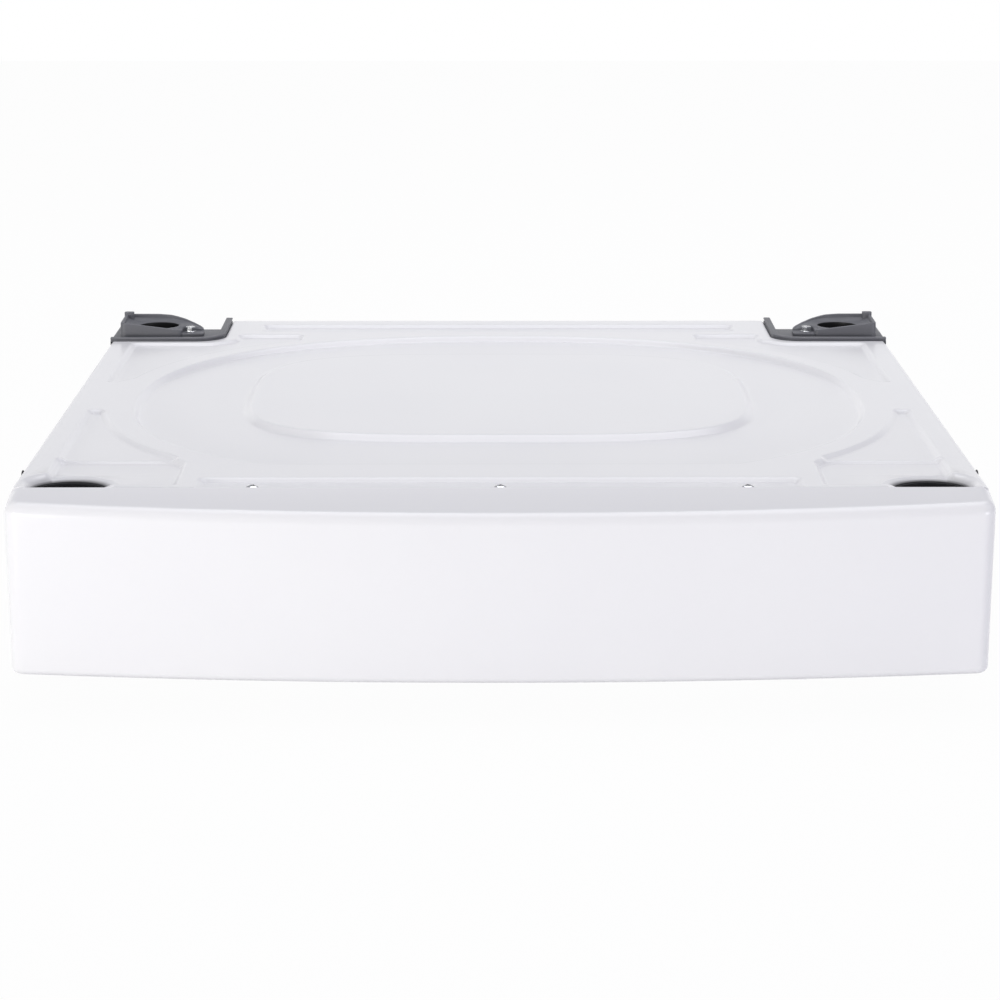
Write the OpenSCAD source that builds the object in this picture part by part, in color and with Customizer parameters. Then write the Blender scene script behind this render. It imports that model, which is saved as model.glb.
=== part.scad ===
// Low riser for a front-loading washer or dryer, without a drawer.
// The origin is on the floor, in the middle of the footprint. The front faces -Y.
// Lengths along the deck are measured back from the rear edge of the front panel's lip.

/* [Front panel] */
// Width of the front panel
panel_w = 711; // [690:1:740]
// Height of the front panel, from the deck's plane to its lower edge
panel_h = 132; // [115:1:180]
// How far the middle of the panel stands in front of the lip's rear edge
panel_d = 58; // [50:1:70]
// How far the middle of the panel stands in front of its corners
panel_bow = 25; // [12:1:34]
// Radius of the panel's upright corners
panel_corner_r = 12; // [9:1:18]
// Radius of the edge between the lip and the face
panel_top_r = 8; // [5:0.5:12]
// Radius of the panel's lower edge
panel_low_r = 5; // [3:0.5:8]
// Angle at which the lip falls towards the front
lip_fall = 7.6; // [4:0.2:10]
// Angle at which the panel's face and sides draw in towards the bottom
panel_draft = 0.8; // [0:0.1:1.5]
// Thickness of the panel's sheet steel
panel_t = 1.5; // [1:0.1:2]
// Width of the flange turned in along the panel's lower edge
panel_flange = 20; // [14:1:26]

/* [Deck] */
// How far the deck's sides lie inside the front panel's sides
deck_step = 2; // [1.5:0.5:4]
// Length of the deck behind the lip
deck_l = 723; // [690:1:760]
// Thickness of the deck's sheet steel
deck_t = 1.2; // [0.8:0.1:1.6]
// Height of the flange turned down round the deck
deck_flange = 16; // [14:1:22]
// Depth of the ring recess, and so the height of the platform in it
ring_depth = 4.5; // [3:0.5:6]
// From the deck's side to the ring recess
ring_side = 53.5; // [47.5:0.5:73.5]
// From the lip to where the ring recess would end if its front edge were round
ring_lead = 37; // [30:1:44]
// From the deck's rear edge to the ring recess
ring_tail = 86; // [81:1:92]
// From the lip to the straight front edge of the ring recess
ring_front = 80; // [70:1:90]
// Width of the land between the ring recess and the corner recesses
ring_land = 19; // [14:1:22]
// Half the width of the raised platform
platform_half_w = 203; // [170:1:212]
// Half the length of the raised platform
platform_half_l = 178; // [150:1:190]
// Width of the slope round the platform
platform_run = 9; // [6:1:12]
// Depth of the corner recesses
corner_depth = 2.5; // [1.5:0.5:3.5]
// Depth of the pads round the front foot wells
pad_depth = 4; // [3:0.5:6]
// Depth of the troughs along the front and the back of the deck
trough_depth = 3; // [2:0.5:4]
// Width of the slope at the edge of a recess
press_run = 6; // [4:0.5:7]

/* [Machine feet] */
// From the deck's side in to the machine's feet
machine_foot_side = 38.5; // [35.5:0.5:45.5]
// From the lip to the machine's front feet
front_well_y = 17; // [14:1:22]
// From the deck's rear edge to the machine's back feet
machine_foot_back = 66; // [63:1:68]
// Inner radius of the front foot wells
well_r = 27; // [22:0.5:28]
// Depth of the floor of the front foot wells below the deck's plane
well_floor = 20; // [18:1:26]
// Radius of the seat for the machine's foot in the floor of a front well
seat_r = 21; // [18:0.5:21]
// Depth of that seat
seat_h = 6; // [4:0.5:8]
// Radius of the hole in a rear foot cup
cup_hole_r = 18; // [14:0.5:19]
// Height of a rear foot cup at its outer side
cup_h = 13.5; // [12:0.5:16]
// Angle at which a rear foot cup's rim falls towards the middle of the riser
cup_fall = 5; // [2:0.5:6]

/* [Body] */
// Thickness of the side panels' and rear panel's sheet steel
wall_t = 1.2; // [0.8:0.1:1.6]
// Width of the flange turned in along the foot of the side panels
wall_flange = 25; // [20:1:28]
// Thickness of the rails' and posts' sheet steel
frame_t = 2; // [1.5:0.1:2.5]
// Height of the rails' flanges
rail_h = 22; // [18:1:26]
// Thickness of the rear corner brackets' steel
bracket_t = 3; // [2.5:0.1:3.5]
// Height of the rear corner brackets' rim above the deck's plane
bracket_rim = 6; // [4:0.5:8]

/* [Levelling feet] */
// Gap under the panel with the feet wound right in
floor_gap = 28; // [27.6:0.2:34]
// From the deck's side in to the riser's feet
foot_side = 53.5; // [48.5:0.5:63.5]
// From the lip to the front feet
front_foot_y = 98; // [84:1:102]
// Radius of a foot's rubber pad
foot_pad_r = 20; // [18:0.5:24]
// Height of a foot's rubber pad
foot_pad_h = 12; // [10:0.5:12.4]
// Radius of a foot's threaded stem
stem_r = 4.76; // [4:0.02:5]
// Length of a foot's threaded stem above its hexagon
stem_l = 44; // [40:1:60]

/* [Hidden] */
$fn = 64;

// Paint and plating
white = "#f2f3f6";
dark_grey = "#55565b";
black = "#222224";
zinc = "#b9bcc0";
chrome = "#d8dadd";

// Places that everything else is measured from
cut = 1;
lip_y = panel_d - (deck_l + panel_d) / 2;
deck_z = floor_gap + panel_h;
deck_half = panel_w / 2 - deck_step;
deck_front = 0.4;
wall_out = deck_half - deck_t;
wall_in = wall_out - wall_t;

// Machine feet and the riser's own feet
machine_foot_x = deck_half - machine_foot_side;
rear_cup_y = deck_l - machine_foot_back;
foot_x = deck_half - foot_side;

// Notches in the deck's back corners
notch_w = 101.5;
notch_l = 112;
notch_x = deck_half - notch_w;
notch_y = deck_l - notch_l;
fit_gap = 0.3;
flange_relief = 3;

// Bowed front
bow_r = (pow(panel_w / 2, 2) + pow(panel_bow, 2)) / (2 * panel_bow);
bow_steps = 20;
corner_steps = 5;
edge_steps = 4;
draft_in = panel_h * tan(panel_draft);

// Screws and bolts
screw_r = 2;
screw_hole_r = screw_r + 0.2;
screw_l = 12;
pan_head_r = 4.8;
pan_head_h = 3;
deck_screw_in = 72;
deck_screw_reach = notch_x - deck_screw_in;
deck_screw_x = [-deck_screw_reach, 0, deck_screw_reach];
deck_screw_y = 8;
side_screw_y = 60;
side_screw_drop = 7.5;
side_head_r = 4;
side_head_h = 1.9;
hex_head_af = 8;
hex_head_h = 3;
bolt_r = 2.5;
bolt_hole_r = bolt_r + 0.2;
bolt_head_af = 8;
bolt_head_h = 4;
washer_r = 5.2;
washer_t = 1;
bolt_nut_h = 4.5;

// Ring, troughs and pads in the deck
ring_half_w = deck_half - ring_side;
ring_half_l = (deck_l - ring_tail - ring_lead) / 2;
ring_mid = ring_lead + ring_half_l;
trough_half = notch_x - 30;
front_trough_y = 34;
rear_trough_front = deck_l - 61;
rear_trough_back = deck_l - 23;
pad_reach = 81;
pad_in = machine_foot_x - pad_reach;
pad_front = 8;
pad_round = 24;
corner_front = 60;
corner_slant = 14;
pad_back = 104;
corner_back = ring_mid - 47;
rear_corner_front = ring_mid + 59;
recess_out = deck_half - 18;
tail_from = 59;
tail_out = notch_x - 10;
tail_back = notch_y + 35;
well_hole_r = well_r + 1;
bevel_r = well_hole_r + 6;
bevel_low = pad_depth + 5;
ring_power = 2.3;
platform_power = 3.5;
platform_mid = ring_mid + 29;

// Rails, posts and their flanges
rail_z = floor_gap + wall_t;
rail_top = rail_z + frame_t;
rail_gap = 8;
rear_rail_w = 72;
front_rail = [deck_front + rail_gap, front_foot_y + 30];
rear_rail = [notch_y + rail_gap + 1, notch_y + rail_gap + 1 + rear_rail_w];
rail_hole_h = 6;
base_screw_x = wall_out - wall_flange / 2 - 4;
post_gap = 0.5;
post_reach = 43;
post_in = machine_foot_x - post_reach;
post_margin = 5;
well_wall = 3;
well_rim = 2;
well_rim_h = 2.5;
well_out_r = well_r + well_wall;
seat_back = well_r - seat_r - 0.5;

// The front panel's tongues and tabs
tongue_y = 16;
tongue_top = deck_t + wall_t + 1.6;
tongue_low = 20;
low_tab_in = 52;
low_tab_x = notch_x - low_tab_in;
low_tab_w = 40;
low_screw_y = front_rail[0] + 14;
low_tab_start = -panel_d * 0.75;

// Walls and their flanges
wall_top = deck_z - deck_t;
wall_top_flange = 13;
rear_out = deck_l - deck_t - 2.2;
rear_top_flange = 12;
rear_low_flange = 18;
rear_side_flange = 20;
rear_corner_top = deck_z - 42;

// Rear brackets
bracket_rim_drop = 12;
bracket_side_drop = 30;
bracket_inner_w = 32;
bracket_inner_back = rear_cup_y + 18;
bracket_back = rear_cup_y + 31;

// Rear foot cups, drawn round the machine's foot
cup_out = 34;
cup_in = 43;
cup_front = 24;
cup_back = 27;
cup_round = 38;
cup_floor = 3;
cup_funnel = 7;
cup_funnel_run = 4;
cup_lug_r = 4;
cup_lug_h = 2;
cup_bolt_x = machine_foot_x - 30;
cup_bolt_y = rear_cup_y - 13;
cup_ear_r = washer_r + 1.6;

// Levelling feet
thread_gap = 0.06;
hex_af = 17;
lock_nut_h = 8.4;
weld_nut_h = 9;
foot_hex_h = rail_z - foot_pad_h - lock_nut_h - 0.2;
rear_foot_y = (rear_rail[0] + rear_rail[1]) / 2;
stem_dip = 6;

function unit(v) = v / norm(v);

// A closed outline, drawn in by d. Its points run anticlockwise.
function drawn_in(outline, d) =
    let (n = len(outline))
    [for (i = [0:n - 1])
        let (a = unit(outline[i] - outline[(i + n - 1) % n]),
             b = unit(outline[(i + 1) % n] - outline[i]),
             m = unit([-a.y - b.y, a.x + b.x]))
        outline[i] + m * d / max(0.6, m * [-a.y, a.x])];

// Points of a squared ellipse from one angle to another
function squircle(half_w, half_l, power, from, to, steps) =
    [for (i = [0:steps])
        let (a = from + (to - from) * i / steps)
        [half_w * sign(cos(a)) * pow(abs(cos(a)), 2 / power),
         half_l * sign(sin(a)) * pow(abs(sin(a)), 2 / power)]];

function open_loop(points) = [for (i = [0:len(points) - 2]) points[i]];

// Outline that hugs the outer edge of the ring's land between two angles
function land_arc(from, to, steps) =
    [for (p = squircle(ring_half_w + ring_land, ring_half_l + ring_land, ring_power, from, to, steps))
        [p.x, ring_mid + p.y]];

// Moves its children from lengths along the deck into the riser's frame
module on_deck() {
    translate([0, lip_y, deck_z]) children();
}

module both_sides() {
    children();
    mirror([1, 0, 0]) children();
}

function all_points(outline) = [[for (i = [0:len(outline) - 1]) i]];

// Prism whose sides ease from one outline to the same outline drawn in, as a press draws sheet steel.
// Its flat ends are the loops, and all of a loop is in plain sight from the loop's first point.
module pressing(outline, depth, run, above, loops = undef) {
    n = len(outline);
    ends = is_undef(loops) ? all_points(outline) : loops;
    steps = 3;
    rings = concat(
        [[for (p = outline) [p.x, p.y, above]]],
        [for (i = [0:steps])
            let (s = i / steps, drop = depth * s * s * (3 - 2 * s))
            [for (p = drawn_in(outline, run * s)) [p.x, p.y, -drop]]]);
    points = [for (r = rings) each r];
    last = len(rings) - 1;
    sides = [for (k = [0:last - 1], i = [0:n - 1])
        let (j = (i + 1) % n)
        each [[k * n + i, k * n + j, (k + 1) * n + j], [k * n + i, (k + 1) * n + j, (k + 1) * n + i]]];
    top = [for (e = ends) [for (i = [len(e):-1:1]) e[i % len(e)]]];
    bottom = [for (e = ends) [for (i = e) last * n + i]];
    polyhedron(points = points, faces = concat(top, sides, bottom));
}

function box_outline(x0, x1, y0, y1, r) =
    [for (c = [[x1 - r, y0 + r, -90], [x1 - r, y1 - r, 0], [x0 + r, y1 - r, 90], [x0 + r, y0 + r, 180]],
          i = [0:3])
        [c.x, c.y] + r * [cos(c.z + 30 * i), sin(c.z + 30 * i)]];

ring_outline =
    [for (p = open_loop(squircle(ring_half_w, ring_half_l, ring_power, 0, 360, 64)))
        [p.x, max(ring_front, ring_mid + p.y)]];
platform_outline =
    [for (p = open_loop(squircle(platform_half_w, platform_half_l, platform_power, 0, 360, 48)))
        [p.x, platform_mid + p.y]];
pad_outline = concat(
    [[pad_in, pad_front], [recess_out, pad_front], [recess_out, pad_back], [pad_in + pad_round, pad_back]],
    [for (a = [15, 35, 55, 75]) [pad_in, pad_back] + pad_round * [1 - sin(a), cos(a) - 1]]);
front_corner_outline = concat(
    [[recess_out - corner_slant, corner_front], [recess_out, pad_back + 8], [recess_out, corner_back],
     [recess_out - corner_slant - 1, corner_back]],
    land_arc(-12, -43, 10),
    [[pad_in + 8, pad_back - 6], [pad_in + 8, corner_front]]);
tail_steps = 6;
tail_in = land_arc(tail_from, 46, tail_steps)[0].x - 1;
rear_corner_outline = concat(
    [[recess_out, notch_y - 8], [notch_x + 10, notch_y - 8], [tail_out, notch_y + 9],
     [tail_out, tail_back], [tail_in, tail_back]],
    land_arc(tail_from, 46, tail_steps),
    land_arc(43.5, 14, 11),
    [[recess_out, rear_corner_front]]);
tail_end = 5 + tail_steps;
rear_corner_loops = [
    concat([0, 1], [for (i = [tail_end:len(rear_corner_outline) - 1]) i]),
    concat([for (i = [2:tail_end]) i], [1])];

function deck_outline(inset, front) =
    let (w = deck_half - inset, nx = notch_x - inset, ny = notch_y - inset, l = deck_l - inset)
    [[-w, front], [w, front], [w, ny], [nx, ny], [nx, l], [-nx, l], [-nx, ny], [-w, ny]];

// Solid under the deck's upper face
module deck_form(outline) {
    difference() {
        union() {
            difference() {
                translate([0, 0, -deck_flange]) linear_extrude(deck_flange) polygon(outline);
                pressing(ring_outline, ring_depth, press_run, cut);
            }
            translate([0, 0, -ring_depth]) mirror([0, 0, 1])
                pressing(platform_outline, ring_depth, platform_run, cut);
        }
        pressing(box_outline(-trough_half, trough_half, -20, front_trough_y, 8),
            trough_depth, press_run, cut);
        pressing(box_outline(-trough_half, trough_half, rear_trough_front, rear_trough_back, 8),
            trough_depth, press_run, cut);
        both_sides() {
            pressing(pad_outline, pad_depth, press_run, cut);
            pressing(front_corner_outline, corner_depth, press_run, 2 * cut);
            pressing(rear_corner_outline, corner_depth, press_run, cut, rear_corner_loops);
            translate([machine_foot_x, front_well_y, -bevel_low])
                cylinder(h = bevel_low, r1 = well_hole_r, r2 = bevel_r);
        }
    }
}

module top_deck() {
    color(white) on_deck() difference() {
        deck_form(deck_outline(0, deck_front));
        translate([0, 0, -deck_t]) deck_form(deck_outline(deck_t, deck_front - cut));
        both_sides() translate([machine_foot_x, front_well_y, -deck_flange - cut])
            cylinder(h = deck_flange + 2 * cut, r = well_hole_r);
        for (x = deck_screw_x) translate([x, deck_screw_y, -deck_flange])
            cylinder(h = deck_flange + cut, r = screw_hole_r);
        both_sides() side_screw_hole();
    }
}

module side_screw_hole() {
    translate([deck_half + cut, side_screw_y, -side_screw_drop]) rotate([0, -90, 0])
        cylinder(h = 10, r = screw_hole_r);
}

// Plan of the front panel, drawn in all round but not at its open back
function panel_outline(inset, back) =
    let (r = max(0.5, panel_corner_r - inset), big_r = bow_r - inset,
         cx = panel_w / 2 - inset - r, c0 = bow_r - panel_d,
         cy = c0 - sqrt(pow(big_r - r, 2) - cx * cx),
         turn = atan2(cy - c0, cx))
    concat(
        [[panel_w / 2 - inset, back], [inset - panel_w / 2, back]],
        [for (i = [0:corner_steps])
            let (a = 180 - turn * i / corner_steps) [-cx + r * cos(a), cy + r * sin(a)]],
        [for (i = [1:bow_steps - 1])
            let (a = -180 - turn + (180 + 2 * turn) * i / bow_steps) [big_r * cos(a), c0 + big_r * sin(a)]],
        [for (i = [0:corner_steps])
            let (a = turn - turn * i / corner_steps) [cx + r * cos(a), cy + r * sin(a)]]);

// Slice of the panel parallel to the lip
module lip_slice(inset, drop, back) {
    multmatrix([[1, 0, 0, 0], [0, 1, 0, 0], [0, tan(lip_fall), 1, -drop]])
        linear_extrude(0.01) polygon(panel_outline(inset, back));
}

// Solid inside the front panel's skin, drawn in by the skin's thickness for its hollow
module panel_form(skin, back) {
    top_r = panel_top_r - skin;
    low_r = panel_low_r - skin;
    hull() {
        for (i = [0:edge_steps]) {
            a = 90 * i / edge_steps;
            lip_slice(skin + top_r * (1 - cos(a)), skin + 0.01 + top_r * (1 - sin(a)), back);
            translate([0, 0, -panel_h + skin + low_r * (1 - sin(a))]) linear_extrude(0.01)
                polygon(panel_outline(skin + draft_in + low_r * (1 - cos(a)), back));
        }
    }
}

// Flange under the deck's front trough, which the deck screws hold
module lip_flange() {
    drop = trough_depth + deck_t;
    reach = deck_screw_y + 12;
    half = trough_half - press_run - 4;
    difference() {
        union() {
            translate([-half, -panel_t, -drop - panel_t])
                cube([2 * half, reach + panel_t, panel_t]);
            translate([-half, -panel_t, -drop - panel_t])
                cube([2 * half, panel_t, drop + panel_t - panel_t * tan(lip_fall)]);
        }
        for (x = deck_screw_x) translate([x, deck_screw_y, -drop - panel_t - cut])
            cylinder(h = panel_t + 2 * cut, r = screw_hole_r);
    }
}

// Tongue that runs back inside the side panel to the side screw
module side_tongue() {
    difference() {
        union() {
            translate([wall_in - panel_t, -tongue_y, -tongue_low])
                cube([panel_t, tongue_y + side_screw_y + 12, tongue_low - tongue_top]);
            translate([wall_in - panel_t, -tongue_y, -tongue_low])
                cube([panel_w / 2 - 0.9 - wall_in + panel_t, panel_t, tongue_low - panel_top_r - 3]);
        }
        side_screw_hole();
    }
}

// Tab that runs back from the panel's lower flange and is screwed under the front rail
module low_tab() {
    translate([0, 0, -panel_h]) difference() {
        translate([low_tab_x - low_tab_w / 2, low_tab_start, 0])
            cube([low_tab_w, low_screw_y + 10 - low_tab_start, wall_t]);
        translate([low_tab_x, low_screw_y, -cut]) cylinder(h = wall_t + 2 * cut, r = screw_hole_r);
    }
}

module front_panel() {
    color(white) on_deck() {
        difference() {
            panel_form(0, 0);
            panel_form(panel_t, cut);
            translate([0, 0, -panel_h - cut]) linear_extrude(panel_h / 2)
                polygon(panel_outline(panel_flange, cut));
        }
        lip_flange();
        both_sides() side_tongue();
        both_sides() low_tab();
    }
}

// Folded wall at the side, with a flange in at the foot and another under the deck's edge
module side_panel() {
    well_end = front_well_y + well_out_r + 6;
    translate([0, lip_y, 0]) difference() {
        union() {
            translate([wall_in, deck_front, floor_gap])
                cube([wall_t, deck_l - flange_relief - deck_front, wall_top - floor_gap]);
            translate([wall_out - wall_flange, deck_front + 2, floor_gap])
                cube([wall_flange, deck_l - 8, wall_t]);
            translate([wall_out - wall_top_flange, well_end, wall_top - wall_t])
                cube([wall_top_flange, notch_y - flange_relief - well_end, wall_t]);
        }
        translate([wall_in - cut, notch_y - cut, deck_z - bracket_t - 0.2])
            cube([wall_t + 2 * cut, deck_l, bracket_t + cut]);
        translate([wall_in - cut, notch_y - deck_t - fit_gap, deck_z - deck_flange - fit_gap])
            cube([wall_t + 2 * cut, deck_t + 2 * fit_gap, deck_flange]);
        translate([0, 0, deck_z]) side_screw_hole();
        base_screw_places() translate([0, 0, floor_gap - cut])
            cylinder(h = wall_t + 2 * cut, r = screw_hole_r);
    }
}

module left_side_panel() {
    color(white) mirror([1, 0, 0]) side_panel();
}

module right_side_panel() {
    color(white) side_panel();
}

// Folded wall at the back: low at the corners and up to the deck between its notches
module rear_panel() {
    foot = floor_gap + wall_t;
    edge_half = notch_x - deck_t;
    flange_half = wall_out - wall_flange - 1;
    side_foot = rail_top + 2;
    color(white) translate([0, lip_y, 0]) {
        translate([-wall_in, rear_out - wall_t, foot]) cube([2 * wall_in, wall_t, rear_corner_top - foot]);
        translate([-edge_half, rear_out - wall_t, foot]) cube([2 * edge_half, wall_t, wall_top - foot]);
        translate([-edge_half, rear_out - rear_top_flange, wall_top - wall_t])
            cube([2 * edge_half, rear_top_flange, wall_t]);
        translate([-flange_half, rear_out - rear_low_flange, foot])
            cube([2 * flange_half, rear_low_flange, wall_t]);
        both_sides() translate([wall_in - wall_t, rear_out - rear_side_flange, side_foot])
            cube([wall_t, rear_side_flange, rear_corner_top - side_foot]);
    }
}

// Where screws hold the rails to one side panel's flange
module base_screw_places() {
    for (y = [front_rail[0] + 30, front_rail[1] - 22, rear_rail[0] + 14, rear_rail[1] - 14])
        translate([base_screw_x, y, 0]) children();
}

// Channel across the bottom, open upwards
module base_rail(span) {
    w = span[1] - span[0];
    translate([0, lip_y, 0]) difference() {
        translate([-wall_in, span[0], rail_z]) cube([2 * wall_in, w, rail_h]);
        translate([-wall_in - cut, span[0] + frame_t, rail_top])
            cube([2 * wall_in + 2 * cut, w - 2 * frame_t, rail_h]);
        translate([0, 0, floor_gap]) {
            both_sides() base_screw_places() cylinder(h = rail_hole_h, r = screw_hole_r);
            both_sides() translate([low_tab_x, low_screw_y, 0]) cylinder(h = rail_hole_h, r = screw_hole_r);
            feet_places() cylinder(h = rail_hole_h, r = stem_r + 0.4);
        }
    }
}

module feet_places() {
    both_sides() for (y = [front_foot_y, rear_foot_y]) translate([foot_x, y, 0]) children();
}

module base_front_rail() {
    color(zinc) base_rail(front_rail);
}

module base_rear_rail() {
    color(zinc) base_rail(rear_rail);
}

// Post folded from one blank: a web against the side panel, two walls, a shelf on top and a foot on the rail
module post(y0, y1, top) {
    translate([0, lip_y, 0]) difference() {
        translate([post_in, y0, rail_top]) cube([wall_in - post_in, y1 - y0, top - rail_top]);
        translate([post_in - cut, y0 + frame_t, rail_top - cut])
            cube([wall_in - frame_t - post_in + cut, y1 - y0 - 2 * frame_t, top - frame_t - rail_top + cut]);
        translate([cup_bolt_x, cup_bolt_y, top - frame_t - cut])
            cylinder(h = frame_t + 2 * cut, r = bolt_hole_r);
    }
}

module front_post() {
    color(zinc) post(front_rail[0] + frame_t + post_gap, front_well_y + well_out_r + post_margin,
        deck_z - well_floor - well_wall);
}

module rear_post() {
    color(zinc) post(rear_rail[0] + frame_t + post_gap, rear_rail[1] - frame_t - post_gap,
        deck_z - bracket_t);
}

// Hat section welded under the floor of the ring recess
module deck_stiffener() {
    h = 18;
    t = 1.5;
    half = 22;
    crown = 12;
    reach = ring_half_l;
    color(zinc) translate([ring_half_w - 60, lip_y + ring_mid, deck_z - ring_depth - deck_t])
        rotate([90, 0, 0]) translate([0, 0, -reach / 2]) linear_extrude(reach)
            polygon([[-half, 0], [-half, -t], [-crown - t, -t], [-crown, -h], [crown, -h],
                     [crown + t, -t], [half, -t], [half, 0], [crown, 0], [crown - t, t - h],
                     [t - crown, t - h], [-crown, 0]]);
}

// Corner bracket in the deck's notch, with a rolled rim towards the deck and a flange over the side panel
module rear_bracket() {
    x0 = notch_x + fit_gap;
    y0 = notch_y + fit_gap;
    x1 = wall_out + bracket_t;
    rim_r = bracket_t / 2;
    rim_h = bracket_rim - rim_r;
    color(dark_grey) on_deck() difference() {
        union() {
            translate([x0, y0, -bracket_t]) cube([x1 - x0, bracket_inner_back - y0, bracket_t]);
            translate([x0 + bracket_inner_w, y0, -bracket_t])
                cube([x1 - x0 - bracket_inner_w, bracket_back - y0, bracket_t]);
            translate([x0, y0, -bracket_t]) cube([x1 - x0, bracket_t, bracket_t + rim_h]);
            translate([x0, y0 + rim_r, rim_h]) rotate([0, 90, 0]) cylinder(h = x1 - x0, r = rim_r);
            translate([x0, y0, -bracket_rim_drop]) cube([bracket_t, deck_l - y0, bracket_rim_drop + rim_h]);
            translate([x0 + rim_r, y0, rim_h]) rotate([-90, 0, 0]) cylinder(h = deck_l - y0, r = rim_r);
            translate([wall_out, y0, -bracket_side_drop])
                cube([bracket_t, bracket_back - y0, bracket_side_drop]);
        }
        translate([cup_bolt_x, cup_bolt_y, -bracket_t - cut])
            cylinder(h = bracket_t + 2 * cut, r = bolt_hole_r);
    }
}

// Plan of a rear foot cup: square at the front and the outer side, round at the inner back corner
module cup_plan() {
    x0 = machine_foot_x - cup_in;
    x1 = machine_foot_x + cup_out;
    y0 = rear_cup_y - cup_front;
    y1 = rear_cup_y + cup_back;
    small_r = 4;
    difference() {
        union() {
            translate([x0, y0]) square([x1 - x0, y1 - cup_round - y0]);
            translate([x0 + cup_round, y0]) square([x1 - x0 - cup_round, y1 - y0]);
            translate([x0 + cup_round, y1 - cup_round]) circle(r = cup_round, $fn = 96);
        }
        translate([x0 - cut, y0 - 2 * cup_round]) square([2 * cup_round, 2 * cup_round]);
        corner_trim(x0, y0, small_r, 0);
        corner_trim(x1, y0, small_r, 90);
        corner_trim(x1, y1, small_r, 180);
    }
}

// What rounding takes off one square corner
module corner_trim(x, y, r, turn) {
    translate([x, y]) rotate(turn) difference() {
        translate([-cut, -cut]) square(r + cut);
        translate([r, r]) circle(r = r);
    }
}

// Cup moulded round the machine's back foot, its rim falling towards the middle of the riser,
// with an open ear for its bolt at the inner front corner
module rear_foot_cup() {
    len_x = cup_in + cup_out;
    color(dark_grey) on_deck() difference() {
        union() {
            difference() {
                linear_extrude(cup_h) cup_plan();
                translate([machine_foot_x + cup_out, rear_cup_y - len_x, cup_h])
                    rotate([0, -cup_fall, 0]) translate([-2 * len_x, 0, 0])
                        cube([2 * len_x, 2 * len_x, 2 * cup_h]);
            }
            translate([machine_foot_x + cup_out - cup_lug_r - 3, rear_cup_y + cup_back - cup_lug_r - 1, 0])
                cylinder(h = cup_h + cup_lug_h, r = cup_lug_r);
        }
        translate([machine_foot_x, rear_cup_y, -cut]) cylinder(h = cup_h + 10, r = cup_hole_r);
        translate([machine_foot_x, rear_cup_y, cup_funnel])
            cylinder(h = 20, r1 = cup_hole_r, r2 = cup_hole_r + cup_funnel_run * 20 / (cup_h - cup_funnel));
        translate([cup_bolt_x, cup_bolt_y, cup_floor]) {
            cylinder(h = 40, r = cup_ear_r);
            translate([-2 * cup_ear_r, -3 * cup_ear_r, 0]) cube([3 * cup_ear_r, 3 * cup_ear_r, 40]);
            translate([-3 * cup_ear_r, -2 * cup_ear_r, 0]) cube([3 * cup_ear_r, 3 * cup_ear_r, 40]);
        }
        translate([cup_bolt_x, cup_bolt_y, -cut]) cylinder(h = 40, r = bolt_hole_r);
    }
}

// Well under the hole in the deck, with a collar that rises into the hole. The seat in its floor lies
// towards the back, clear of the panel's lip above.
module front_foot_cup() {
    flange_top = bevel_low + deck_t + 0.1;
    color(black) on_deck() translate([machine_foot_x, front_well_y, 0]) difference() {
        union() {
            translate([0, 0, -well_floor - well_wall])
                cylinder(h = well_floor + well_wall - flange_top, r = well_out_r);
            translate([0, 0, -flange_top - well_rim_h]) cylinder(h = well_rim_h, r = well_out_r + well_rim);
            translate([0, 0, -well_floor])
                cylinder(h = well_floor - pad_depth - well_rim_h, r = well_hole_r - 0.2);
        }
        translate([0, 0, seat_h - well_floor]) cylinder(h = well_floor, r = well_r);
        translate([0, seat_back, -well_floor]) cylinder(h = well_floor, r = seat_r);
    }
}

module hex(af, h) {
    cylinder(h = h, r = af / sqrt(3), $fn = 6);
}

module nut(af, h, r) {
    difference() {
        hex(af, h);
        translate([0, 0, -cut]) cylinder(h = h + 2 * cut, r = r);
    }
}

module cup_bolt_places() {
    on_deck() both_sides() translate([cup_bolt_x, cup_bolt_y, 0]) children();
}

module cup_bolts() {
    grip = cup_floor + washer_t + bracket_t + frame_t + bolt_nut_h + 2;
    color(chrome) cup_bolt_places() translate([0, 0, cup_floor + washer_t]) {
        hex(bolt_head_af, bolt_head_h);
        translate([0, 0, -grip]) cylinder(h = grip + cut, r = bolt_r);
    }
}

module cup_washers() {
    color(chrome) cup_bolt_places() translate([0, 0, cup_floor]) difference() {
        cylinder(h = washer_t, r = washer_r);
        translate([0, 0, -cut]) cylinder(h = washer_t + 2 * cut, r = bolt_r + 0.2);
    }
}

module cup_nuts() {
    color(chrome) cup_bolt_places() translate([0, 0, -bracket_t - frame_t - bolt_nut_h])
        nut(bolt_head_af, bolt_nut_h, bolt_r + 0.05);
}

// Pan-head screw standing on z = 0, its shank downwards
module pan_screw(head_r, head_h, length) {
    dome_r = (head_r * head_r + head_h * head_h) / (2 * head_h);
    intersection() {
        translate([0, 0, head_h - dome_r]) sphere(r = dome_r);
        cylinder(h = head_h, r = head_r);
    }
    translate([0, 0, -length]) cylinder(h = length + head_h / 2, r = screw_r);
}

module deck_screws() {
    color(white) on_deck() for (x = deck_screw_x) translate([x, deck_screw_y, -trough_depth])
        pan_screw(pan_head_r, pan_head_h, screw_l);
}

module side_screws() {
    color(black) on_deck() both_sides() translate([deck_half, side_screw_y, -side_screw_drop])
        rotate([0, 90, 0]) pan_screw(side_head_r, side_head_h, 8);
}

// Hex-head screws that hold the side panels and the front panel's tabs under the rails
module base_screws() {
    color(zinc) translate([0, lip_y, floor_gap]) both_sides() {
        base_screw_places() base_screw();
        translate([low_tab_x, low_screw_y, 0]) base_screw();
    }
}

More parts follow.
